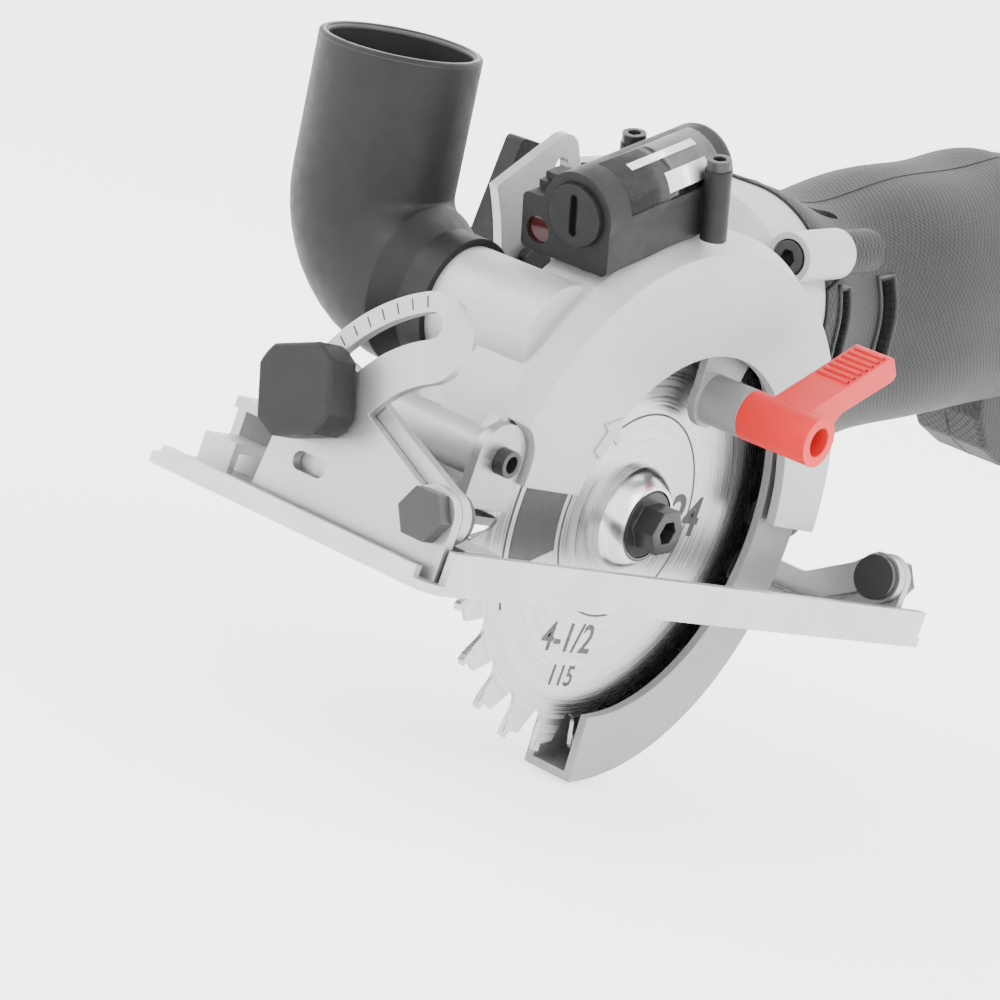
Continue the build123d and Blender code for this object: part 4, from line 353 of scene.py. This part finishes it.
FINISHES = {
    "cast_alloy": cast_finish("cast_alloy", (0.34, 0.343, 0.348), 0.42, 0.30),
    "guard_alloy": cast_finish("guard_alloy", (0.20, 0.202, 0.205), 0.40, 0.35),
    "plated_steel": plated_finish("plated_steel", (0.33, 0.33, 0.327), 0.36),
    "sole_sheet": plated_finish("sole_sheet", (0.42, 0.42, 0.42), 0.38, (1.0, 0.03, 1.0), 0.7),
    "blade_steel": turned_finish("blade_steel", (0.44, 0.44, 0.437), 0.27, 1500.0, 0.035),
    "polished_steel": turned_finish("polished_steel", (0.55, 0.55, 0.55), 0.2, 900.0, 0.01),
    "carbide": plated_finish("carbide", (0.42, 0.42, 0.42), 0.38),
    "black_steel": cast_finish("black_steel", (0.022, 0.022, 0.024), 0.36, 0.4, 0.015, 2.6),
    "dark_plastic": moulded_finish("dark_plastic", (0.0072, 0.0073, 0.0076), 0.52),
    "soft_grip": diamond_finish("soft_grip", (0.016, 0.0163, 0.0168), 0.58),
    "red_plastic": moulded_finish("red_plastic", (0.50, 0.010, 0.012), 0.40, 0.02, 1300.0, 1.25),
    "bearing_steel": turned_finish("bearing_steel", (0.70, 0.70, 0.70), 0.25, 1100.0, 0.01),
    "bronze": cast_finish("bronze", (0.50, 0.31, 0.12), 0.45, 0.9, 0.02),
    "copper": stacked_finish("copper", (0.62, 0.25, 0.10), 0.34, 0.8, 0.8, 0.12),
    "lamination": stacked_finish("lamination", (0.30, 0.31, 0.33), 0.42, 0.8, 0.9, 0.06),
    "carbon": cast_finish("carbon", (0.03, 0.03, 0.03), 0.6, 0.1, 0.02, 1.3),
    "lens": lens_finish("lens", (0.030, 0.004, 0.004)),
    "cell": plated_finish("cell", (0.75, 0.75, 0.75), 0.22),
}
HOUSING = diamond_finish("housing_texture", (0.019, 0.0193, 0.0198), 0.56)
INK = print_finish("black_ink", (0.012, 0.012, 0.013))
LABEL = print_finish("label_film", (0.80, 0.80, 0.79), 0.35)
SMOOTH_DARK = moulded_finish("smooth_panel", (0.013, 0.0132, 0.0136), 0.36, 0.012, 1900.0, 1.4)
SEAM = moulded_finish("seam_shadow", (0.006, 0.006, 0.006), 0.6)
# lighter grey for the dust outlet's lip: a painted highlight
LIP_HIGHLIGHT = moulded_finish("lip_highlight", (0.055, 0.055, 0.057), 0.36)
FILM = print_finish("dark_film", (0.006, 0.006, 0.0065), 0.22)
SPECIAL = {"housing_left": HOUSING, "housing_right": HOUSING}


def dress_cad_nodes():
    """Gives each real part the finish of its slot, or its own."""
    for part in frame["record"]["subparts"]:
        node = frame["nodes"][part["node"]]
        material = SPECIAL.get(part["node"], FINISHES[part["material_slot"]])
        node.data.materials.clear()
        node.data.materials.append(material)


# ------------------------------------------------------------------ making pieces
def keep(piece, material, body):
    """Gives a finished mesh its material and its body."""
    piece.data.materials.clear()
    piece.data.materials.append(material)
    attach(piece, body)


def new_piece(name, verts, faces, smooth=True):
    """Object with a mesh of the given points and faces."""
    mesh = bpy.data.meshes.new(name)
    mesh.from_pydata([tuple(v) for v in verts], [], faces)
    mesh.update()
    for polygon in mesh.polygons:
        polygon.use_smooth = smooth
    piece = bpy.data.objects.new(name, mesh)
    bpy.context.scene.collection.objects.link(piece)
    return piece


def outward(piece):
    """Joins points that coincide and turns every face outwards."""
    work = bmesh.new()
    work.from_mesh(piece.data)
    bmesh.ops.remove_doubles(work, verts=work.verts, dist=1e-6)
    bmesh.ops.recalc_face_normals(work, faces=work.faces)
    work.to_mesh(piece.data)
    work.free()
    return piece


def plain_mesh(piece):
    """Applies a piece's modifiers by reading its evaluated mesh."""
    graph = bpy.context.evaluated_depsgraph_get()
    mesh = bpy.data.meshes.new_from_object(piece.evaluated_get(graph))
    mesh.name = piece.name
    fresh = bpy.data.objects.new(piece.name + "_done", mesh)
    bpy.context.scene.collection.objects.link(fresh)
    name = piece.name
    bpy.data.objects.remove(piece)
    fresh.name = name
    return fresh


def slab(name, outline, origin, u, v, depth, bevel=0.0):
    """Flat plate with the given outline in the u, v plane, raised along u x v by depth."""
    normal = u.cross(v).normalized()
    base = [origin + u * (a * MM) + v * (b * MM) for a, b in outline]
    top = [p + normal * (depth * MM) for p in base]
    count = len(outline)
    faces = [list(range(count))[::-1], list(range(count, 2 * count))]
    faces += [[i, (i + 1) % count, count + (i + 1) % count, count + i] for i in range(count)]
    piece = outward(new_piece(name, base + top, faces, smooth=False))
    if bevel:
        edge = piece.modifiers.new("edge", "BEVEL")
        edge.width = bevel * MM
        edge.segments = 2
        edge.limit_method = "ANGLE"
        piece = plain_mesh(piece)
    return piece


def arc_points(radius, start, stop, count):
    """Points on an arc, from start to stop in degrees."""
    step = (stop - start) / (count - 1)
    return [(radius * math.cos(math.radians(start + k * step)),
             radius * math.sin(math.radians(start + k * step))) for k in range(count)]


def band(inner, outer, start, stop, count=48):
    """Outline of a ring, or of part of one."""
    return arc_points(outer, start, stop, count) + arc_points(inner, stop, start, count)


def surface_of(*names):
    """Search tree over CAD nodes, for laying detail on them."""
    verts, faces = [], []
    for name in names:
        mesh = frame["nodes"][name].data
        start = len(verts)
        verts += [v.co.copy() for v in mesh.vertices]
        faces += [[start + i for i in p.vertices] for p in mesh.polygons]
    return BVHTree.FromPolygons(verts, faces)


def drop(tree, point, direction):
    """Where a ray first meets the surface, or None."""
    return tree.ray_cast(point, direction)[0]


def bead(name, points, radius, closed=True):
    """Round bead that follows the points; a curve turned into a mesh."""
    curve = bpy.data.curves.new(name, "CURVE")
    curve.dimensions = "3D"
    curve.bevel_depth = radius * MM
    curve.bevel_resolution = 3
    spline = curve.splines.new("POLY")
    spline.points.add(len(points) - 1)
    for target, point in zip(spline.points, points):
        target.co = (*point, 1)
    spline.use_cyclic_u = closed
    holder = bpy.data.objects.new(name, curve)
    bpy.context.scene.collection.objects.link(holder)
    piece = plain_mesh(holder)
    for polygon in piece.data.polygons:
        polygon.use_smooth = True
    return piece


def merge(name, pieces):
    """One piece from several, which it removes."""
    work = bmesh.new()
    for piece in pieces:
        work.from_mesh(piece.data)
        bpy.data.objects.remove(piece)
    mesh = bpy.data.meshes.new(name)
    work.to_mesh(mesh)
    work.free()
    whole = bpy.data.objects.new(name, mesh)
    bpy.context.scene.collection.objects.link(whole)
    return whole


def frame_at(origin, u, v):
    """Matrix that puts x along u and y along v, at the origin given."""
    u, v = u.normalized(), v.normalized()
    return Matrix.Translation(origin) @ Matrix((u, v, u.cross(v))).transposed().to_4x4()


def number(name, text, height, origin, u, v, depth, weight):
    """Plain figures as a thin mesh in the u, v plane; the font's size is 1.38 times its figures."""
    curve = bpy.data.curves.new(name, "FONT")
    curve.body = text
    curve.size = height * MM * 1.38
    curve.align_x = "CENTER"
    curve.align_y = "CENTER"
    curve.extrude = depth * MM / 2
    curve.offset = weight
    holder = bpy.data.objects.new(name, curve)
    bpy.context.scene.collection.objects.link(holder)
    piece = plain_mesh(holder)
    piece.data.transform(frame_at(origin, u, v))
    return piece


# ------------------------------------------------------------------ detail on the real parts
def blade_print():
    """Dark printed field, thin rings and plain figures on the blade's face."""
    thick, figure_thick = 0.04, 0.06
    face = ARBOR + ACROSS * (BLADE_FACE + 0.00002)
    fields = (("field", band(26.0, 42.0, 158, 203)), ("ring_a", band(43.6, 44.3, 150, 215)),
              ("ring_b", band(24.0, 24.5, 0, 359.9, 120)))
    pieces = [slab(name, outline, face, Y_AXIS, Z_AXIS, thick) for name, outline in fields]
    # text, height, angle and radius of its middle, and how much bolder than the plain font
    figures = (("4-1/2", 7.0, 258, 31.0, 0.00016), ("115", 5.0, 264, 39.5, 0.00012),
               ("24", 9.5, 4, 23.0, 0.00032))
    for text, height, angle, radius, weight in figures:
        spot = face + Y_AXIS * (radius * MM * math.cos(math.radians(angle)))
        spot = spot + Z_AXIS * (radius * MM * math.sin(math.radians(angle)))
        pieces.append(number("figure", text, height, spot, Y_AXIS, Z_AXIS, figure_thick, weight))
    keep(merge("blade_print", pieces), INK, "blade")


def guard_arrow():
    """Raised arrow on the guard's face that shows which way the blade turns."""
    face = upright(0, 0, 0)
    face.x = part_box("upper_guard")[1].x
    stem, barb, tail, neck, tip = 1.6, 4.2, -4.5, 1.0, 6.0
    outline = [(-stem, tail), (stem, tail), (stem, neck), (barb, neck), (0, tip), (-barb, neck),
               (-stem, neck)]
    angle, radius, sunk = math.radians(151), 38.0, 0.2
    radial = Y_AXIS * math.cos(angle) + Z_AXIS * math.sin(angle)
    tangent = Y_AXIS * math.sin(angle) - Z_AXIS * math.cos(angle)
    spot = face + radial * (radius * MM) - ACROSS * (sunk * MM)
    raised = slab("guard_arrow", outline, spot, radial * -1, tangent, 0.7, 0.15)
    keep(raised, FINISHES["cast_alloy"], "head")


def housing_joint():
    """Dark joint round the housing's mouth."""
    tree = surface_of("housing_left", "housing_right")
    points = []
    count = 96
    for k in range(count):
        angle = 2 * math.pi * k / count
        direction = ACROSS * math.cos(angle) + UP * math.sin(angle)
        spot = drop(tree, head(BARREL_X, MOUTH_Y, BARREL_Z) + direction * CLEAR, direction * -1)
        if spot is not None:
            points.append(spot)
    keep(bead("housing_joint", points, 0.55), SEAM, "head")


# ------------------------------------------------------------------ rows and rings of small parts
def row_tree(name):
    """Node tree that stands boxes on an arc or a line, from named inputs."""
    tree = bpy.data.node_groups.new(name, "GeometryNodeTree")
    face = tree.interface
    for label, kind in (("Count", "NodeSocketInt"), ("Radius", "NodeSocketFloat"),
                        ("Start", "NodeSocketFloat"), ("Step", "NodeSocketFloat"),
                        ("Pitch", "NodeSocketFloat"), ("Size", "NodeSocketVector"),
                        ("Seed", "NodeSocketInt"), ("Unevenness", "NodeSocketFloat"),
                        ("Material", "NodeSocketMaterial")):
        face.new_socket(label, in_out="INPUT", socket_type=kind)
    face.new_socket("Geometry", in_out="OUTPUT", socket_type="NodeSocketGeometry")
    given = tree.nodes.new("NodeGroupInput").outputs
    made = tree.nodes.new("NodeGroupOutput").inputs

    def node(kind, **settings):
        fresh = tree.nodes.new(kind)
        for key, value in settings.items():
            setattr(fresh, key, value)
        return fresh

    def maths(operation, *values):
        fresh = node("ShaderNodeMath", operation=operation)
        for slot, value in zip(fresh.inputs, values):
            if isinstance(value, float):
                slot.default_value = value
            else:
                tree.links.new(value, slot)
        return fresh.outputs[0]

    points = node("GeometryNodePoints")
    tree.links.new(given["Count"], points.inputs["Count"])
    index = node("GeometryNodeInputIndex").outputs[0]
    angle = maths("MULTIPLY_ADD", index, given["Step"], given["Start"])
    place = node("ShaderNodeCombineXYZ")
    tree.links.new(maths("MULTIPLY", maths("COSINE", angle), given["Radius"]), place.inputs["X"])
    tree.links.new(maths("MULTIPLY", maths("SINE", angle), given["Radius"]), place.inputs["Y"])
    shift = node("ShaderNodeCombineXYZ")
    tree.links.new(maths("MULTIPLY", index, given["Pitch"]), shift.inputs["X"])
    total = node("ShaderNodeVectorMath", operation="ADD")
    tree.links.new(place.outputs[0], total.inputs[0])
    tree.links.new(shift.outputs[0], total.inputs[1])
    set_place = node("GeometryNodeSetPosition")
    tree.links.new(points.outputs[0], set_place.inputs["Geometry"])
    tree.links.new(total.outputs[0], set_place.inputs["Position"])
    turn = node("ShaderNodeCombineXYZ")
    tree.links.new(angle, turn.inputs["Z"])
    chance = node("FunctionNodeRandomValue", data_type="FLOAT")
    tree.links.new(given["Seed"], chance.inputs["Seed"])
    tree.links.new(maths("MULTIPLY", given["Unevenness"], -1.0), chance.inputs[2])
    tree.links.new(given["Unevenness"], chance.inputs[3])
    swell = maths("ADD", chance.outputs[1], 1.0)
    block = node("GeometryNodeMeshCube")
    tree.links.new(given["Size"], block.inputs["Size"])
    stand = node("GeometryNodeInstanceOnPoints")
    tree.links.new(set_place.outputs[0], stand.inputs["Points"])
    tree.links.new(block.outputs[0], stand.inputs["Instance"])
    tree.links.new(turn.outputs[0], stand.inputs["Rotation"])
    tree.links.new(swell, stand.inputs["Scale"])
    real = node("GeometryNodeRealizeInstances")
    tree.links.new(stand.outputs[0], real.inputs[0])
    paint = node("GeometryNodeSetMaterial")
    tree.links.new(real.outputs[0], paint.inputs["Geometry"])
    tree.links.new(given["Material"], paint.inputs["Material"])
    tree.links.new(paint.outputs[0], made["Geometry"])
    return tree


def row(name, tree, corner, material, count, size, radius=0.0, start=0.0, step=0.0, pitch=0.0,
        bevel=0.0):
    """Boxes from the node tree, bevelled, as one plain mesh placed by the corner matrix."""
    holder = new_piece(name, [], [])
    holder.modifiers.new("row", "NODES").node_group = tree
    values = {"Count": count, "Radius": radius * MM, "Start": math.radians(start),
              "Step": math.radians(step), "Pitch": pitch * MM,
              "Size": tuple(v * MM for v in size), "Seed": 7, "Unevenness": 0.01,
              "Material": material}
    for socket in tree.interface.items_tree:
        if socket.in_out == "INPUT":
            holder.modifiers["row"][socket.identifier] = values[socket.name]
    if bevel:
        edge = holder.modifiers.new("edge", "BEVEL")
        edge.width = bevel * MM
        edge.segments = 2
    piece = plain_mesh(holder)
    piece.data.transform(corner)
    return piece


def bevel_scale(tree):
    """Dark degree marks on the front quadrant, one every 5 degrees from 0 to 45."""
    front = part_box("bevel_quadrant")[0].y
    hub = Vector((BEVEL_AXIS.x, front - 0.00001, BEVEL_AXIS.z))
    corner = frame_at(hub, ACROSS, Z_AXIS)
    mark = (2.4, 0.35, 0.10)
    marks = row("bevel_marks", tree, corner, INK, 10, mark, radius=43.2, start=114.2, step=5.0)
    keep(marks, INK, "shoe")


def lever_ridges():
    """Grip ridges across the red lever's arm."""
    count, first, pitch, half_width, ridge_r = 7, 17.5, 2.3, 4.2, 0.55
    arm_x, above = 26.0, 0.03
    surface = surface_of("guard_lever")
    pivot = upright(0, 9, 31)
    lean = math.radians(24.0)
    rise = UP * math.cos(lean) - ALONG * math.sin(lean)
    ridges = []
    for k in range(count):
        reach = (first + pitch * k) * MM
        spot = pivot + (ALONG * math.cos(lean) + UP * math.sin(lean)) * reach
        spot.x = ARBOR.x + arm_x * MM
        found = drop(surface, spot + rise * above, rise * -1)
        if found is None:
            continue
        ends = [found + ACROSS * (half_width * MM), found - ACROSS * (half_width * MM)]
        ridges.append(bead("ridge", ends, ridge_r, closed=False))
    if ridges:
        keep(merge("lever_ridges", ridges), FINISHES["red_plastic"], "lower_guard")


def vent_rims():
    """Raised smooth rims round the cooling slots in the housing's sides."""
    half_width, past, steps, nearest = 3.4, 1.5, 24, 0.02
    tree = surface_of("housing_left", "housing_right", "grip_overmold")
    rims = []
    # place along the head, and the first and last angle round it
    for y, start, stop in ((92, 2, 32), (118, -8, 36), (92, 150, 190), (118, 145, 190)):
        span = stop - start + 2 * past
        loop = [(y - half_width, start - past + span * k / (steps - 1)) for k in range(steps)]
        loop += [(y + half_width, stop + past - span * k / (steps - 1)) for k in range(steps)]
        points = []
        for along, angle in loop:
            out = ACROSS * math.cos(math.radians(angle)) + UP * math.sin(math.radians(angle))
            middle = MOTOR + ALONG * ((along - MOTOR_Y) * MM)
            spot = drop(tree, middle + out * CLEAR, out * -1)
            if spot is not None and (spot - middle).length > nearest:
                points.append(spot)
        if len(points) > 30:
            rims.append(bead("rim", points, 0.75))
    if rims:
        keep(merge("vent_rims", rims), SMOOTH_DARK, "head")


def housing_split():
    """Fine joint above and below, where the two halves of the housing meet."""
    split_x, first, pitch, count, far, longest_step = -44.8, 84, 2.4, 100, 90, 0.006
    tree = surface_of("housing_left", "housing_right", "grip_overmold")
    lines = []
    for side in (1, -1):
        points = []
        for k in range(count):
            start = head(split_x, first + pitch * k, BARREL_Z + side * far)
            spot = drop(tree, start, UP * -side)
            if spot is not None and (not points or (spot - points[-1]).length < longest_step):
                points.append(spot)
        if len(points) > 10:
            lines.append(bead("split", points, 0.22, closed=False))
    keep(merge("housing_split", lines), SEAM, "head")


def tube_patch(name, start, stop, low, high, lift, material):
    """Curved film on the laser's tube: angles about its axis, distances along it."""
    joint = JOINTS["battery_cap_turn"]
    axis = Vector(joint["axis"]).normalized() * -1
    base = Vector(joint["pos_m"])
    rise = ACROSS.cross(axis)
    radius = (TUBE_R + lift) * MM
    verts, faces = [], []
    count, thick = 28, 0.03
    for depth in (0.0, -thick):
        for k in range(count + 1):
            angle = math.radians(start + (stop - start) * k / count)
            out = (ACROSS * math.cos(angle) + rise * math.sin(angle)) * (radius + depth * MM)
            verts += [base + out + axis * (low * MM), base + out + axis * (high * MM)]
    for layer in range(2):
        first = layer * 2 * (count + 1)
        faces += [[first + 2 * k, first + 2 * k + 1, first + 2 * k + 3, first + 2 * k + 2]
                  for k in range(count)]
    half = 2 * (count + 1)
    for k in range(count):
        faces += [[2 * k, 2 * k + 2, half + 2 * k + 2, half + 2 * k],
                  [2 * k + 1, 2 * k + 3, half + 2 * k + 3, half + 2 * k + 1]]
    for end in (0, 2 * count):
        faces.append([end, end + 1, half + end + 1, half + end])
    piece = outward(new_piece(name, verts, faces))
    keep(piece, material, "head")


def laser_detail():
    """Dark film round the tube, with a blank pale field and a pale stripe on it."""
    film_lift, label_lift = 0.04, 0.08
    tube_patch("laser_film", 2, 96, 7.0, 38.0, film_lift, FILM)
    tube_patch("laser_field", 12, 40, 20.0, 34.0, label_lift, LABEL)
    tube_patch("laser_stripe", 60, 72, 12.0, 34.0, label_lift, LABEL)


def elbow_rim():
    """Rounded, slightly polished lip on the dust outlet, in a lighter grey that is a painted
    highlight.
    """
    top = head(OUTLET_X, OUTLET_Y, OUTLET_TOP)
    count = 96
    points = []
    for k in range(count):
        angle = 2 * math.pi * k / count
        out = ACROSS * math.cos(angle) + ALONG * math.sin(angle)
        points.append(top + out * (OUTLET_LIP_R * MM))
    keep(bead("elbow_rim", points, 1.06), LIP_HIGHLIGHT, "dust_elbow")


# ------------------------------------------------------------------ floor, light and camera
def floor():
    """Round pale floor, just under the blade's lowest point, that turns up into a wall."""
    inner, outer, flat, bend, wall, around, below = 0.3, 1.2, 2.4, 2.0, 6.0, 64, 0.001
    low = cad_box[0][2] - below
    profile = [(inner, 0.0), (outer, 0.0), (flat, 0.0)]
    profile += [(flat + bend * math.sin(k * math.pi / 32), bend - bend * math.cos(k * math.pi / 32))
                for k in range(1, 17)]
    profile.append((flat + bend, wall))
    verts = [(0.0, 0.0, low)]
    for radius, height in profile:
        turns = [2 * math.pi * k / around for k in range(around)]
        verts += [(radius * math.cos(a), radius * math.sin(a), low + height) for a in turns]
    faces = [[0, 1 + k, 1 + (k + 1) % around] for k in range(around)]
    for ring in range(len(profile) - 1):
        start = 1 + ring * around
        faces += [[start + k, start + around + k, start + around + (k + 1) % around,
                   start + (k + 1) % around] for k in range(around)]
    piece = new_piece("floor", verts, faces)
    pale = Finish("pale_floor", (0.86, 0.86, 0.86), 0.7)
    cloud = pale.between(pale.noise(3.0), 0.0, 1.0)
    pale.paint(pale.mix(cloud, (0.90, 0.90, 0.90), (0.92, 0.92, 0.92)))
    pale.shader.inputs["Emission Color"].default_value = (1, 1, 1, 1)
    pale.shader.inputs["Emission Strength"].default_value = 1.3
    piece.data.materials.append(pale.material)


def world():
    """White surroundings that light the shadows."""
    studio = bpy.data.worlds.new("studio")
    bpy.context.scene.world = studio
    studio.use_nodes = True
    background = studio.node_tree.nodes["Background"]
    background.inputs["Color"].default_value = (1, 1, 1, 1)
    background.inputs["Strength"].default_value = 1.1


def lamps():
    """Three square soft lamps that face the middle of the saw."""
    middle = Vector((0.04, 0.02, 0.03))
    # name, place, side in metres and power in watts
    softboxes = (("key", (-0.5, -0.9, 1.1), 0.9, 14.0), ("side", (1.3, -0.1, 0.7), 0.7, 8.0),
                 ("top", (0.1, 0.5, 1.3), 1.0, 10.0))
    for name, place, size, power in softboxes:
        lamp = bpy.data.lights.new(name, "AREA")
        lamp.shape = "SQUARE"
        lamp.size = size
        lamp.energy = power
        holder = bpy.data.objects.new(name, lamp)
        holder.location = place
        holder.rotation_euler = (middle - Vector(place)).to_track_quat("-Z", "Y").to_euler()
        bpy.context.scene.collection.objects.link(holder)


def camera():
    """Near, low, and to the right of the saw's nose, leaning a little."""
    eye = Vector((0.4647, -0.6631, 0.1126))
    forward = Vector((-0.5626, 0.8164, -0.1303)).normalized()
    right = forward.cross(Vector((-0.3407, -0.0854, 0.9363))).normalized()
    lens = bpy.data.cameras.new("camera")
    lens.lens = 126.0
    lens.sensor_width = 36.0
    lens.clip_start = 0.05
    holder = bpy.data.objects.new("camera", lens)
    rows = Matrix((right, right.cross(forward), forward * -1)).transposed()
    holder.matrix_world = Matrix.Translation(eye) @ rows.to_4x4()
    bpy.context.scene.collection.objects.link(holder)
    bpy.context.scene.camera = holder


dress_cad_nodes()
blade_print()
guard_arrow()
housing_joint()
rows = row_tree("rows of boxes")
bevel_scale(rows)
lever_ridges()
vent_rims()
housing_split()
laser_detail()
elbow_rim()
floor()
world()
lamps()
camera()
